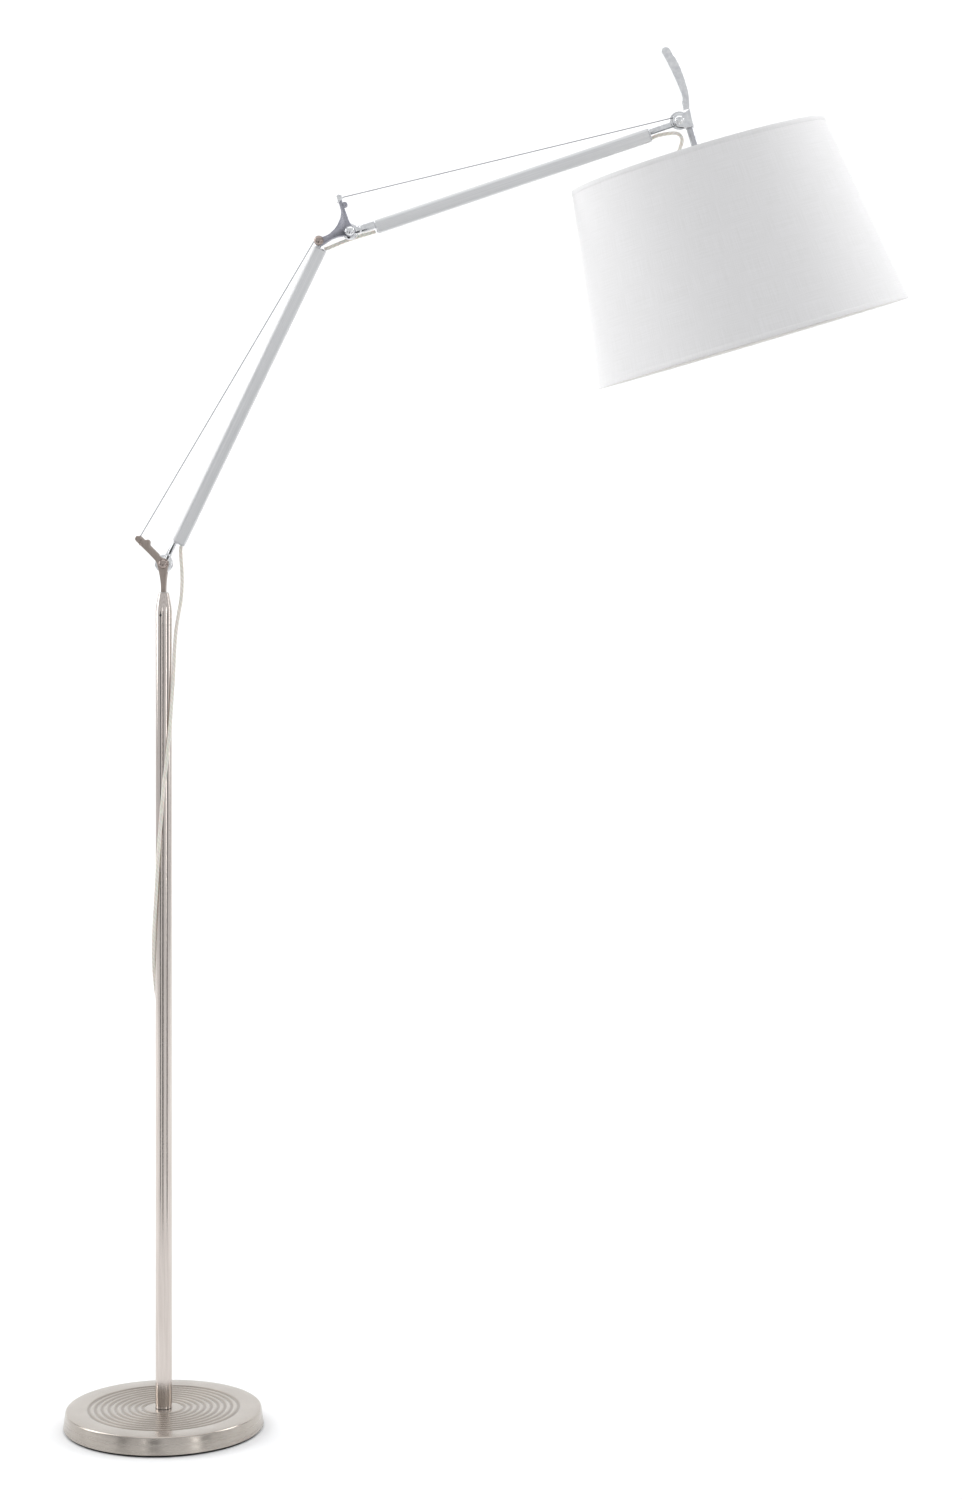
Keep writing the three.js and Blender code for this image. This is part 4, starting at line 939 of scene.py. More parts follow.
# arms: aluminium extrusions between chrome knuckles

profile = {"centre": 6.4, "width": 20.5, "depth": 18, "corner": 2.4, "groove": -4.6, "grooveSize": 0.45,
           "wall": 1.7}
armEnds = {
    "lower": {"foot": 38.1, "top": 10.9, "tongue": (1, 8), "rim": 14.2, "disc": 7.7, "topTongue": 7},
    "upper": {"foot": 40.5, "top": 50, "tongue": (2.5, 12), "rim": 12.9, "disc": 14.2, "topTongue": 9},
}
lowerLength = (elbowPivot - footPivot).length / mm
upperLength = (headPivot - kneePivot).length / mm


def profileOutline(shrink=0.0):
    # from the underside: two round corners, a fine groove on each side, then a rounded upper back
    low = profile["centre"] - profile["width"] / 2 + shrink
    high = profile["centre"] + profile["width"] / 2 - shrink
    half = profile["depth"] / 2 - shrink
    r = profile["corner"]
    groove = profile["centre"] + profile["groove"]
    size = profile["grooveSize"]
    right = [*arc(high - r, -half + r, r, -90, 0, 5), *arc(high - r, half - r, r, 0, 90, 5)]
    notch = [(groove + size, half), (groove + size * 0.6, half - size), (groove - size * 0.6, half - size),
             (groove - size, half - 0.15)] if not shrink else []
    back = curved([(groove - 1, half - 0.3), (low + 2.2, half - 1.7), (low + 0.5, half - 4.2),
                   (low, half - 7)], 4)
    front = [(x, -y) for x, y in reversed(back)]
    notchFront = [(x, -y) for x, y in reversed(notch)]
    return [*right, *notch, *back, *front, *notchFront]


def makeProfile(name, place, low, high, body, material, node):
    tube = bar(name, profileOutline(), low, high, place, 0.25, 2, 60)
    bore = bar(name + "_bore", profileOutline(profile["wall"]), low - 1, low + 30, place, 0)
    tube = cutWith(tube, bore)
    bore = bar(name + "_bore", profileOutline(profile["wall"]), high - 30, high + 1, place, 0)
    tube = cutWith(tube, bore)
    pick(tube)
    bpy.ops.object.shade_smooth_by_angle(angle=math.radians(35))
    fit(tube, body, material, "anodised_aluminium", node)


def flange(name, place, low):
    outline = profileOutline(0.35)
    return bar(name, outline, low, low + 2, place, 0.4, 2, 50)


def makeFootKnuckle(name, place, end, tongue, rim, body, node):
    centre, width = tongue
    inner = cheek["inner"] - cheek["gap"]
    # a small hub with the friction disc behind it, its face domed towards the rim
    discProfile = [(0, -inner), (3.2, -inner), (7.3, -inner), (7.7, -inner + 0.4), (7.7, -1), (8.2, -1),
                   (rim - 2.5, -0.6),
                   (rim - 1, 0), (rim - 0.3, 0.7), (rim, 1.6), (rim, inner - 0.5), (rim - 0.5, inner),
                   (0, inner)]
    disc = turned(name + "_disc", discProfile, place @ facingBack, steps=64, angle=30)
    root, reach, shoulder = 3.7, end - 1.3, 21.6
    outline = softened([(centre - root, 2), (centre + root, 2), (centre + width / 2, shoulder - 3),
                        (centre + width / 2, reach), (centre - width / 2, reach),
                        (centre - width / 2, shoulder - 3)], 2.5)
    tongueBody = plate(name + "_tongue", outline, -inner, inner, place, 1.2, 3, 40)
    collar = bar(name + "_collar", [(centre + x, y) for x, y in arc(0, 0, width / 2 + 0.9, 0, 337.5, 15)],
                 13.4, 17.2, place, 0.5, 2, 40)
    ring = flange(name + "_flange", place, end - 2.3)
    fit(joined(name, [tongueBody, disc, collar, ring]), body, chrome, "polished_chrome", node)


def makeTopKnuckle(name, place, length, end, disc, width, body, node):
    centre, low, high = 2.5, cheek["gap"], cheek["inner"] - cheek["gap"]
    outline = softened([(centre - width / 2, end + 1.2), (centre + width / 2, end + 1.2),
                        (centre + width / 2, length), (centre - width / 2, length)], 1.5)
    tongueBody = plate(name + "_tongue", outline, low, high, place, 0.7, 3, 40)
    top = place @ Matrix.Translation((0, 0, length * mm))
    wheel = turned(name + "_disc", [(0, -high), (disc - 0.5, -high), (disc, -high + 0.5),
                                    (disc, -low - 0.5),
                                    (disc - 0.5, -low), (disc - 1.4, -low), (disc - 1.7, -low - 0.35),
                                    (0, -low - 0.35)],
                   top @ facingViewer, steps=64, angle=30)
    cap = flange(name + "_flange", place, end + 0.3)
    fit(joined(name, [tongueBody, wheel, cap]), body, chrome, "polished_chrome", node)


def makePulley(name, place, body, node):
    half, groove, plane = 2.0, 1.0, 2.3
    outline = [(3.3, -half), (7.4, -half), (7.6, -half + 0.2), (7.6, -groove - 0.2), (7.3, -groove),
               (5.6, -0.7),
               (5.3, 0), (5.6, 0.7), (7.3, groove), (7.6, groove + 0.2), (7.6, half - 0.2), (7.4, half),
               (3.3, half)]
    wheel = turned(name, [(r, z + plane) for r, z in outline], place @ facingViewer, steps=48, closed=True)
    fit(wheel, body, whitePlastic, "white_plastic", node)


for name, place, length, material in (("lower", lowerFrame, lowerLength, lowerSilver),
                                      ("upper", upperFrame, upperLength, upperSilver)):
    ends = armEnds[name]
    arm = name + "_arm"
    low, high = ends["foot"], length - ends["top"]
    makeProfile(arm + "_extrusion", place, low, high, arm, material, arm + "_profile")
    makeFootKnuckle(arm + "_foot_joint", place, low, ends["tongue"], ends["rim"], arm,
                    arm + "_foot_knuckle")
    makeTopKnuckle(arm + "_top_joint", place, length, high, ends["disc"], ends["topTongue"], arm,
                   arm + "_top_knuckle")
    makePulley(name + "_cable_wheel", place @ Matrix.Translation((0, 0, length * mm)), name + "_pulley",
               name + "_pulley")
print("arms made")


# tension cables

cable = {"radius": 0.7, "run": 6, "plane": -2.3, "eye": 4.3, "hook": 46}


def roundWire(name, line, radius, sides=8, closed=False):  # a wire along a line, in metres
    data = bpy.data.curves.new(name, "CURVE")
    data.dimensions = "3D"
    data.bevel_depth = radius
    data.bevel_resolution = max(1, sides // 4)
    data.use_fill_caps = not closed
    spline = data.splines.new("POLY")
    spline.points.add(len(line) - 1)
    for point, place in zip(spline.points, line):
        point.co = (*place, 1)
    spline.use_cyclic_u = closed
    piece = bpy.data.objects.new(name, data)
    bpy.context.scene.collection.objects.link(piece)
    pick(piece)
    bpy.ops.object.convert(target="MESH")
    piece = bpy.context.object
    bpy.ops.object.mode_set(mode="EDIT")
    return settle(piece, world, angle=50)


def makeCable(name, armFrame, tip, length, high, bodies, node):
    tipX, tipZ = (armFrame.inverted() @ tip).x / mm, (armFrame.inverted() @ tip).z / mm
    dx, dz = -tipX, length - tipZ
    heading = math.atan2(dx, dz) - math.asin(cable["run"] / math.hypot(dx, dz))
    touch = (-cable["run"] * math.cos(heading), cable["plane"], length + cable["run"] * math.sin(heading))
    start = (tipX + cable["eye"] * math.sin(heading), cable["plane"],
             tipZ + cable["eye"] * math.cos(heading))

    def placed(point):
        return armFrame @ (Vector(point) * mm)

    first, last = placed(start), placed(touch)
    aim = last - first
    deselectAll()
    bpy.ops.mesh.primitive_cylinder_add(vertices=12, radius=cable["radius"] * mm, depth=aim.length,
                                        location=(first + last) / 2,
                                        rotation=aim.to_track_quat("Z", "Y").to_euler())
    run = bpy.context.object
    run.name = run.data.name = name + "_strand"
    settle(run, world, angle=50)
    fit(run, None, wire, "steel_wire", node)
    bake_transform(run)
    turns = [math.pi - heading - (math.pi - heading) * i / 12 for i in range(13)]
    line = [placed((cable["run"] * math.cos(a), cable["plane"],
                    length + cable["run"] * math.sin(a))) for a in turns]
    line.append(placed((cable["run"], cable["plane"], high - cable["hook"])))
    wrap = roundWire(name + "_wrap", line, cable["radius"] * mm)
    fit(wrap, bodies[1], wire, "steel_wire", node)


forkTip = forkFrame @ Vector((leverPoint(fork["length"], 0)[0] * mm, 0,
                              leverPoint(fork["length"], 0)[1] * mm))
bracketTip = elbowFrame @ Vector((-52 * mm, 0, 48.7 * mm))
makeCable("lower_cable", lowerFrame, forkTip, lowerLength, lowerLength - armEnds["lower"]["top"],
          ("fork", "lower_arm"), "lower_cable")
makeCable("upper_cable", upperFrame, bracketTip, upperLength, upperLength - armEnds["upper"]["top"],
          ("elbow", "upper_arm"), "upper_cable")
print("cables made")


# elbow bracket

bracket = {"far": 48.7, "hub": 7.7, "lobe": (-40.3, 52.9), "tip": (-51.6, 47.7), "tipRadius": 3.3}


def makeElbow():
    far = bracket["far"]
    under = curved([(8.4, 1.2), (7.4, 6.5), (5.2, 13), (3.7, 21), (3.5, 30), (4.9, 38.5), (7.4, 44.6)], 5)
    back = curved([(-3.2, far + 7.2), (-8, far + 5.0), (-14, far + 3.6), (-25, far + 2.9), (-36, far + 2.4),
                   (-47, far + 2.0)], 4)
    hollow = curved([(-46, 44.9), (-38, 45.0), (-31, 44.2), (-23.4, 40.8), (-15.6, 34.6), (-9.4, 26.6),
                     (-5.2, 18), (-4.0, 11.4)], 5)
    outline = [*arc(0, 0, bracket["hub"], 120, 352, 14), *under, *arc(0, far, 8, -22, 108, 10), *back,
               *arc(*bracket["tip"], bracket["tipRadius"], 80, 262, 8), *hollow]
    cheeks = []
    for side, (low, high) in {"front": (-cheek["outer"], -cheek["inner"]),
                              "back": (cheek["inner"], cheek["outer"])}.items():
        cheeks.append(plate("elbow_cheek_" + side, outline, low, high, elbowFrame, 0.9, 3, 40))
        lobeDisc = turned("elbow_lobe_" + side, [(0, low), (3.6, low), (4.1, low + 0.5), (4.1, high - 0.5),
                                                 (3.6, high), (0, high)],
                          elbowFrame @ Matrix.Translation(
                              (bracket["lobe"][0] * mm, 0, bracket["lobe"][1] * mm))
                          @ Matrix.Rotation(-math.pi / 2, 4, "X"), steps=32)
        cheeks.append(lobeDisc)
    web = plate("elbow_web", softened([(4.2, 16.5), (3.4, 30.5), (-8, 31), (-14, 38), (-26, 44.5),
                                       (-36, 48.6), (-36, 47), (-24, 41.2), (-12, 31), (-4.6, 16.5)], 1.5),
                -cheek["inner"], cheek["inner"], elbowFrame, 0.3)
    spacer = turned("elbow_spacer", [(0, -5), (2.6, -5), (2.6, 5), (0, 5)],
                    elbowFrame @ Matrix.Translation((bracket["lobe"][0] * mm, 0, bracket["lobe"][1] * mm))
                    @ facingViewer, steps=20)
    pinHead = turned("elbow_lobe_pin", [(0, 8.2), (1.5, 8.2), (1.5, 8.8), *dome(1.4, 8.8, 0.5)],
                     elbowFrame @ Matrix.Translation((bracket["lobe"][0] * mm, 0, bracket["lobe"][1] * mm))
                     @ facingViewer, steps=20)
    fit(joined("knee_bracket", [*cheeks, web, spacer, pinHead]), "elbow", brackets, "dark_chrome",
        "elbow_bracket")
    place = elbowFrame @ Matrix.Translation((-52.4 * mm, 0, 48.2 * mm))
    makeAnchor("elbow_tip_nut", place, "elbow", "upper_rivet", chrome, "polished_chrome", (5.6, -3.2))


makeElbow()
print("elbow made")


# short leads at the elbow and the head

elbowLead = {
    "route": [[14.2, 6.1, 3.7], [14, 6.2, 6.4], [13.8, 6.4, 11], [13.2, 6.7, 17], [12.4, 6.9, 25.5],
              [11.5, 7, 35], [11, 7, 46], [10.9, 6.9, 58], [11.1, 6.4, 72], [11.2, 6.1, 85.2]],
    "share": 0.36,
}
headLead = [[-47, 6.1, -13.6], [-41, 6.1, -12.4], [-33.5, 6, -12.2], [-25, 6, -13.1], [-17, 6, -14.4],
            [-9.5, 5.8, -16.6], [-5, 5.4, -20.6], [-3.4, 4.8, -26], [-5, 4, -32], [-9.4, 3, -38.5],
            [-14, 2, -45.5], [-17, 1.2, -54], [-17, 0.6, -63], [-14.6, 0.2, -71], [-11.4, 0, -76.6],
            [-8.6, 0, -77.9]]


def inPlane(share, point, ahead):  # the flex lies flat towards the viewer
    return ahead.cross(Vector((0, 1, 0)))


def makeLeads():
    line = evenly([elbowFrame @ (Vector(p) * mm) for p in curved(elbowLead["route"], 6)], 2 * mm)
    split = round(elbowLead["share"] * len(line))
    low = flexAlong("elbow_flex_low", line[:split + 1], inPlane)
    fit(low, None, flex, "clear_cord", "elbow_lead")
    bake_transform(low)
    high = flexAlong("elbow_flex_high", line[split:], inPlane)
    fit(high, None, flex, "clear_cord", "elbow_lead")
    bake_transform(high)

    line = evenly([headFrame @ (Vector(p) * mm) for p in curved(headLead, 6)], 2 * mm)
    lead = flexAlong("head_flex", line, inPlane)
    fit(lead, None, flex, "clear_cord", "head_lead")
    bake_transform(lead)


makeLeads()
print("leads made")


# head: bracket, handle and stem

bracketHead = {"hub": 10, "foot": -14.7, "shoulder": (19.6, 12.4), "stemLow": -66}
handle = {"half": 4.5, "bevel": 2.3}


def makeHeadBracket():
    axis = head["axisOffset"] / mm
    footLeft, footRight = axis - 6, axis + 6
    x, z = bracketHead["shoulder"]
    right = curved([(footRight, bracketHead["foot"]), (18.3, -9), (18.7, 0), (19.3, 8), (x, z)], 4)
    top = curved([(x, z), (15.4, 10.4), (11.4, 9.3), (6.4, 9.0), (2.4, 9.7)], 4)
    left = curved([(-6.2, -7.9), (-1.5, -10.3), (3.2, -12.2), (footLeft, bracketHead["foot"])], 4)
    outline = [*right, *top[1:], *arc(0, 0, bracketHead["hub"], 90, 230, 16), *left]
    body = plate("head_casting", outline, -cheek["outer"], cheek["outer"], headFrame, 0.9, 3, 40)
    slotRoom = turned("head_slot", [(0, -cheek["inner"]), (14.8, -cheek["inner"]), (14.8, cheek["inner"]),
                                    (0, cheek["inner"])], headFrame @ facingViewer, steps=64)
    body = cutWith(body, slotRoom)
    pick(body)
    bpy.ops.object.shade_smooth_by_angle(angle=math.radians(35))
    fit(body, "head", chrome, "polished_chrome", "head_bracket")

    stemProfile = [(3.5, bracketHead["stemLow"]), (5.1, bracketHead["stemLow"]),
                   (5.5, bracketHead["stemLow"] + 0.4),
                   (5.5, -40), (5.5, -17.6), (5.1, -17.2), (5.1, -16.6), (6.2, -16.2), (6.5, -15.9),
                   (6.5, -15.3), (6.2, -15), (3.5, -15)]
    stem = turned("head_tube", stemProfile, shadeFrame, steps=64, closed=True)
    screws = [makeSmallScrew("stem_screw", shadeFrame @ Matrix.Translation((2.6 * mm, 0, z * mm)), 1.5, 4.6,
                             0.7)
              for z in (-23, -30.5)]
    fit(joined("head_tube", [stem, *screws]), "head", satinChrome, "polished_chrome", "head_stem")


def makeHandle():
    footX, footZ = bracketHead["shoulder"][0] - 9.6, bracketHead["shoulder"][1] + 0.3
    outer = curved([(19.6, footZ), (20.6, 16.5), (22.6, 24), (25.2, 43), (24.4, 70), (21.6, 88),
                    (17.6, 101.5)], 5)
    tip = curved([(17.6, 101.5), (15.6, 108.4), (10.9, 111.6), (5.8, 110.6), (3.2, 106.5)], 5)
    inner = curved([(3.2, 106.5), (7.1, 88), (10.4, 70), (12.6, 54), (14, 38), (13.2, 29.5), (11.6, 26),
                    (10.8, 20), (footX, footZ)], 5)
    outline = [*outer[:-1], *tip[:-1], *inner]
    blade = plate("handle_blade", outline, -handle["half"], handle["half"], headFrame, handle["bevel"], 4,
                  40)
    pin = makeSmallScrew("handle_pin", headFrame @ Matrix.Translation((12.8 * mm, 0, 22.1 * mm)), 1.1,
                         handle["half"], 0.3)
    fit(joined("handle_blade", [blade, pin]), "head", chrome, "polished_chrome", "tilt_handle")


makeHeadBracket()
makeHandle()
print("head made")


# lampholder, switch and bulb

holder = {"radius": 20, "top": -66.3, "low": -116.3, "flange": -86.3, "bore": 14.6}
hubTop = holder["flange"] - 2.3


def fluted(radius, depth, count):  # a round outline with count grip flutes
    steps = count * 6
    turns = [2 * math.pi * i / steps for i in range(steps)]
    radii = [radius - depth * (0.5 - 0.5 * math.cos(count * t)) ** 2 for t in turns]
    return [(r * math.cos(t), r * math.sin(t)) for r, t in zip(radii, turns)]


def makeHolder():
    radius, top, low, rim = holder["radius"], holder["top"], holder["low"], holder["flange"]
    cap = curved([(9, top - 0.3), (12.5, top - 1.6), (17.4, top - 4.4), (19.5, top - 8),
                  (radius, top - 12)], 5)
    threads = []
    for i in range(6):
        z = rim - 4 - i * 3.6
        threads += [(radius - 0.7, z), (radius, z - 0.9), (radius, z - 1.8), (radius - 0.7, z - 2.7)]
    profile = [(3.5, top), (8.5, top), *cap, (radius, rim), (radius + 2.7, rim), (radius + 3, rim - 0.3),
               (radius + 3, rim - 1.7), (radius + 2.7, rim - 2), (radius, rim - 2), *threads,
               (radius - 0.6, low + 0.4),
               (radius - 1, low), (holder["bore"] + 0.4, low), (holder["bore"], low + 0.4),
               (holder["bore"], rim - 4), (3.5, rim - 4)]
    shell = turned("holder_shell", profile, shadeFrame, steps=72, closed=True, angle=30)
    fit(shell, "head", whitePlastic, "white_plastic", "lampholder")

    ringTop = hubTop - 2.3
    ring = bar("holder_ring", fluted(26, 0.9, 24), ringTop - 7, ringTop, shadeFrame, 0.4, 2, 50)
    room = bar("ring_room", arc(0, 0, radius + 0.3, 0, 355, 71), ringTop - 8, ringTop + 1, shadeFrame, 0)
    ring = cutWith(ring, room)
    pick(ring)
    bpy.ops.object.shade_smooth_by_angle(angle=math.radians(35))
    fit(ring, "head", whitePlastic, "white_plastic", "shade_retaining_ring")

    knobPlace = shadeFrame @ Matrix.Translation((0, 0, (top - 15) * mm)) @ facingViewer
    grip = bar("switch_grip", fluted(4.5, 0.5, 12), radius + 6.3, radius + 15.3, knobPlace, 0.5, 2, 50)
    shaft = turned("switch_shaft", [(0, radius + 0.3), (3.4, radius + 0.3), (3.4, radius + 1.6),
                                    (2.3, radius + 1.9),
                                    (2.3, radius + 6.8), (0, radius + 6.8)], knobPlace, steps=32)
    fit(joined("switch_grip", [grip, shaft]), "switch", brass, "brass", "switch_knob")

    capHigh, capLow = low - 1 + 25, low - 1
    capThreads = []
    for i in range(5):
        z = capHigh - 6 - i * 3.3
        capThreads += [(12.2, z), (13.1, z - 0.8), (13.2, z - 1.4), (12.2, z - 2.4)]
    capProfile = [(0, capHigh), (4.5, capHigh), (5, capHigh - 0.8), (9, capHigh - 3), (12.2, capHigh - 5),
                  *capThreads, (12.4, capLow + 1), (13.2, capLow), (0, capLow)]
    fit(turned("bulb_screw_cap", capProfile, shadeFrame, steps=48, angle=30), "head", brass, "brass",
        "bulb_cap")
    glassTop = capLow - 0.3
    ball = glassTop - 82 + 30
    outline = curved([(13.2, glassTop), (13.9, glassTop - 5), (16.4, glassTop - 14), (22.4, glassTop - 26),
                      (28, ball + 13), (30, ball), (27.7, ball - 11.5), (21.2, ball - 21.2),
                      (11.5, ball - 27.7), (0, ball - 30)], 6)
    glass = turned("bulb_envelope", [(0, glassTop)] + outline, shadeFrame, steps=64)
    fit(glass, "head", opal, "opal_glass", "bulb_glass")


makeHolder()
print("lampholder made")


# shade: cotton on a stiff backing, stretched between two wire rings

shade = {
    "top": -57.2, "height": 295, "topRadius": 197, "lowRadius": 241, "thick": 1.2, "bow": 0.7, "hem": 7,
    "hemRise": 0.35, "wire": 1.6, "flatArea": 0.4104, "flat": (1.461, 0.439), "seamAt": 118,
    "seamWidth": 14,
}


def shadeRadius(z):  # of the cloth's outside; it draws in a little between its rings
    share = (shade["top"] - z) / shade["height"]
    cone = shade["topRadius"] + (shade["lowRadius"] - shade["topRadius"]) * share
    return cone - shade["bow"] * math.sin(math.pi * share)


def wrapCloth(piece):  # a cloth UV map in metres: round the shade, and down it
    layer = piece.data.uv_layers.new(name="cloth")
    back = shadeFrame.inverted()
    middleRadius = (shade["topRadius"] + shade["lowRadius"]) / 2 * mm
    for polygon in piece.data.polygons:
        centre = back @ polygon.center
        middle = math.atan2(centre.y, centre.x)
        for loop in polygon.loop_indices:
            point = back @ piece.data.vertices[piece.data.loops[loop].vertex_index].co
            turn = math.atan2(point.y, point.x)
            turn += 2 * math.pi * round((middle - turn) / (2 * math.pi))
            layer.data[loop].uv = (turn * middleRadius, point.z)


def hemBand(name, edge, away):
    # folded cloth over an edge of the shade: up the inside, round the edge and down the outside
    rise, thick = shade["hemRise"], shade["thick"]
    end = edge + away * shade["hem"]
    outside = [(shadeRadius(end) + 0.05, end), (shadeRadius(end) + rise, end - away * 0.5),
               (shadeRadius(edge) + rise, edge + away * 0.6)]
    over = [(shadeRadius(edge) + 0.1, edge - away * 0.3),
            (shadeRadius(edge) - thick - 0.1, edge - away * 0.3)]
    inside = [(shadeRadius(edge) - thick - rise, edge + away * 0.6),
              (shadeRadius(end) - thick - rise, end - away * 0.5), (shadeRadius(end) - thick - 0.05, end)]
    band = turned(name, [*outside, *over, *inside], shadeFrame, steps=192, closed=True, angle=60)
    wrapCloth(band)
    return fit(band, "head", cotton, "shade_fabric")


def makeShade():
    top, low = shade["top"], shade["top"] - shade["height"]
    rows = [top - 0.1] + [top - shade["height"] * i / 14 for i in range(1, 14)] + [low + 0.1]
    cloth = turned("shade_cloth", [(shadeRadius(z), z) for z in rows], shadeFrame, steps=192)
    backing = cloth.modifiers.new("backing", "SOLIDIFY")
    backing.thickness = shade["thick"] * mm
    face = cloth.data.polygons[0]
    backing.offset = -1 if face.normal.dot(face.center - shadeFrame.translation) > 0 else 1
    applyAll(cloth)
    bpy.ops.object.shade_smooth_by_angle(angle=math.radians(40))
    wrapCloth(cloth)
    fit(cloth, "head", cotton, "shade_fabric", "shade_fabric")

    # where the cloth's two ends overlap, behind and to one side
    half = math.degrees(shade["seamWidth"] / 2 / 219)
    vertices, faces = [], []
    turns = [shade["seamAt"] - half + 2 * half * i / 6 for i in range(7)]
    for z in rows:
        for i, turn in enumerate(turns):
            lift = 0.0 if i in (0, 6) else 0.4
            r = (shadeRadius(z) + lift) * mm
            vertices.append(shadeFrame @ Vector((r * math.cos(math.radians(turn)),
                                                 r * math.sin(math.radians(turn)), z * mm)))
    for row in range(len(rows) - 1):
        for i in range(6):
            a = row * 7 + i
            faces.append((a, a + 7, a + 8, a + 1))
    mesh = bpy.data.meshes.new("shade_seam")
    mesh.from_pydata(vertices, [], faces)
    seam = bpy.data.objects.new("shade_seam", mesh)
    bpy.context.scene.collection.objects.link(seam)
    pick(seam)
    bpy.ops.object.shade_smooth()
    wrapCloth(seam)
    fit(seam, "head", cotton, "shade_fabric")

    hems = [hemBand("shade_top_hem", top, -1), hemBand("shade_low_hem", low, 1)]

    wireRadius = shade["wire"]
    inset = shade["thick"] + 0.3 + wireRadius
    flare = (shade["lowRadius"] - shade["topRadius"]) / shade["height"]
    ringRadius, ringZ = shade["topRadius"] - inset, top - wireRadius - 0.3
    topRing = turned("spider_ring", arc(ringRadius, ringZ, wireRadius, 0, 330, 11), shadeFrame, steps=120,
                     closed=True)
    hubProfile = [(20.3, hubTop - 2), (28.6, hubTop - 2), (29, hubTop - 1.6), (29, hubTop - 0.4),
                  (28.6, hubTop), (20.3, hubTop)]
    hub = turned("spider_hub", hubProfile, shadeFrame, steps=60, closed=True)
    spokes = []
    for i in range(3):
        turn = Matrix.Rotation(math.radians(120 * i), 4, "Z")
        bend = curved([(24, 0, hubTop - 2.6), (30, 0, hubTop - 1.6), (44, 0, hubTop + 1.6),
                       (110, 0, hubTop + 13.4),
                       (178, 0, ringZ - 2.6), (190, 0, ringZ - 0.6), (ringRadius, 0, ringZ)], 5)
        spokes.append(roundWire("spider_spoke", [shadeFrame @ turn @ (Vector(p) * mm) for p in bend],
                                wireRadius * mm, 12))
    fit(joined("shade_carrier", [hub, topRing, *spokes]), "head", powderWhite, "white_wire", "shade_spider")
    lowRadius, lowZ = shade["lowRadius"] - inset - 2 * wireRadius * flare, low + wireRadius + 0.3
    lowRing = turned("shade_low_ring", arc(lowRadius, lowZ, wireRadius, 0, 330, 11), shadeFrame, steps=140,
                     closed=True)
    fit(lowRing, "head", powderWhite, "white_wire", "shade_bottom_ring")


makeShade()
print("shade made")


# plug and tie on the power cord

plug = {"start": (72, 152), "lean": -29.5, "length": 36, "width": 26, "thick": 13.6, "pin": 19,
        "gauge": 2.0}


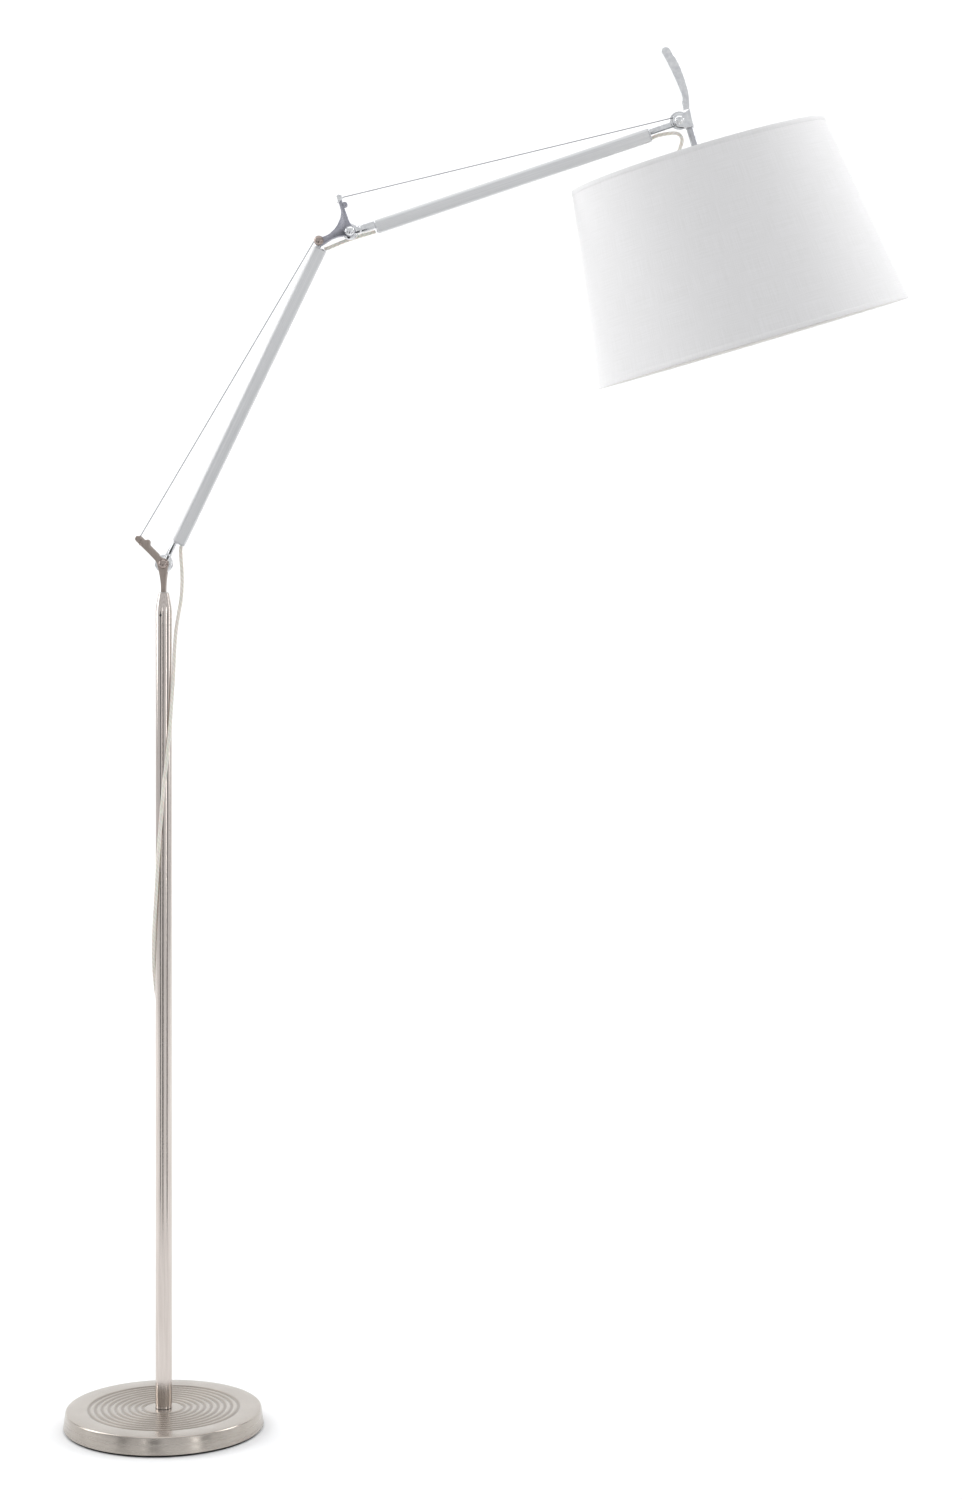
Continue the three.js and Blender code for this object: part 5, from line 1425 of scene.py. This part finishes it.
def makePlug():
    place = Matrix.Translation((plug["start"][0] * mm, plug["start"][1] * mm, 0)) @ Matrix.Rotation(
        math.radians(plug["lean"]), 4, "Z")
    length, half, thick = plug["length"], plug["width"] / 2, plug["thick"]
    side = curved([(0.2, 4.2), (5, 4.8), (10, 6.6), (15, 10.4), (19, half - 0.4), (24, half),
                   (30, half - 0.3), (length, half - 0.6)], 5)
    outline = [(x, -y) for x, y in side] + list(reversed(side))
    body = bar("plug_body", outline, 0, thick, place, 2.6, 4, 50)
    grips = []
    for i in range(3):  # raised ribs to pull it by
        for level in (0.25, thick - 0.25):
            rib = bar("plug_rib", softened([(19 + i * 4.4, -7.5), (20.8 + i * 4.4, -7.5),
                                            (20.8 + i * 4.4, 7.5),
                                            (19 + i * 4.4, 7.5)], 0.8), level - 0.25, level + 0.25, place,
                                            0.15)
            grips.append(rib)
    sleeveRings = [(0, -1.4)]
    for i in range(5):
        z = -17 + i * 3.6
        r = 3.5 + 0.16 * i
        sleeveRings += [(r, z), (r, z + 2.2), (r - 0.7, z + 2.5), (r - 0.7, z + 3.3)]
    sleeveLine = [Vector(p) * mm for p in tailRoute]
    aim = (sleeveLine[-1] - sleeveLine[-3]).normalized()
    sleevePlace = Matrix.Translation(sleeveLine[-1]) @ aim.to_track_quat("Z", "Y").to_matrix().to_4x4()
    sleeve = turned("plug_sleeve", [(0, -17), *sleeveRings[1:], (4.1, 1.4), (0, 1.4)], sleevePlace,
                    steps=32, angle=40)
    fit(joined("plug_body", [body, *grips, sleeve]), "fork", whitePlastic, "white_plastic", "plug")
    for name, offset in (("left", 0.5), ("right", -0.5)):
        low, r = length + 0.3, plug["gauge"]
        pinPlace = place @ Matrix.Translation((0, offset * 19 * mm, thick / 2 * mm)) @ Matrix.Rotation(
            math.pi / 2, 4, "Y")
        pin = turned("plug_contact_" + name, [(0, low), (r, low), (r, low + 9.6), (r - 0.15, low + 9.8),
                                              (r - 0.15, low + 16.8),
                                             (r - 0.5, low + 18), (r - 1.1, low + 18.8), (0, low + 19)],
                     pinPlace, steps=24, angle=40)
        fit(pin, "fork", brass, "brass", "plug_pin_" + name)


def makeTie():
    x, width, thick = 17, 7, 0.9
    centreY, low, high, half = powerCord["hankCentre"][1], 0.0, 14.0, 22.6
    place = Matrix.Rotation(math.pi / 2, 4, "Z")  # the outline's x runs along -Y of the lamp
    outer = softened([(centreY - half, low), (centreY + half, low), (centreY + half, high),
                      (centreY - half, high)], 6, steps=6)
    inner = softened([(centreY - half + thick, low + thick), (centreY + half - thick, low + thick),
                      (centreY + half - thick, high - thick), (centreY - half + thick, high - thick)], 5.2,
                      steps=6)
    band = plate("cord_strap", outer, -x - width / 2, -x + width / 2, place, 0.2, 2, 60)
    room = plate("strap_room", inner, -x - width, -x + width, place, 0)
    band = cutWith(band, room)
    pick(band)
    bpy.ops.object.shade_smooth_by_angle(angle=math.radians(35))
    tail = plate("strap_tail", softened([(centreY - 14, high - 0.1), (centreY + 10, high - 0.1),
                                         (centreY + 13, high + 0.3),
                                         (centreY + 13, high + 1.1), (centreY + 10, high + 0.8),
                                         (centreY - 14, high + 0.6)],
                                        0.4), -x - width / 2 + 0.3, -x + width / 2 - 0.3, place, 0.15, 2,
                                        60)
    fit(joined("cord_strap", [band, tail]), "fork", strap, "black_plastic", "cord_tie")


makePlug()
makeTie()
print("plug and tie made")


# the pieces out of sight keep the frame's own shapes

pvcLead = mouldedPlastic("pvc_sheath", "dcd9cc", "e8e5da", 0.38, 5 * mm, 0.03 * mm)
insides = {
    "base_weight": castIron, "base_washer": zinc, "base_nut": zinc, "base_rod": zinc,
    "pole_foot_bush": zinc,
    "pole_head_grub_screw": zinc, "lower_cable_eye": zinc, "upper_cable_eye": zinc, "lower_spring": wire,
    "upper_spring": wire, "lower_arm_lead": pvcLead, "upper_arm_lead": pvcLead,
}
for name, material in insides.items():
    node = frame["nodes"][name]
    node.data.materials.clear()
    node.data.materials.append(material)
print("insides painted")


print("finished")
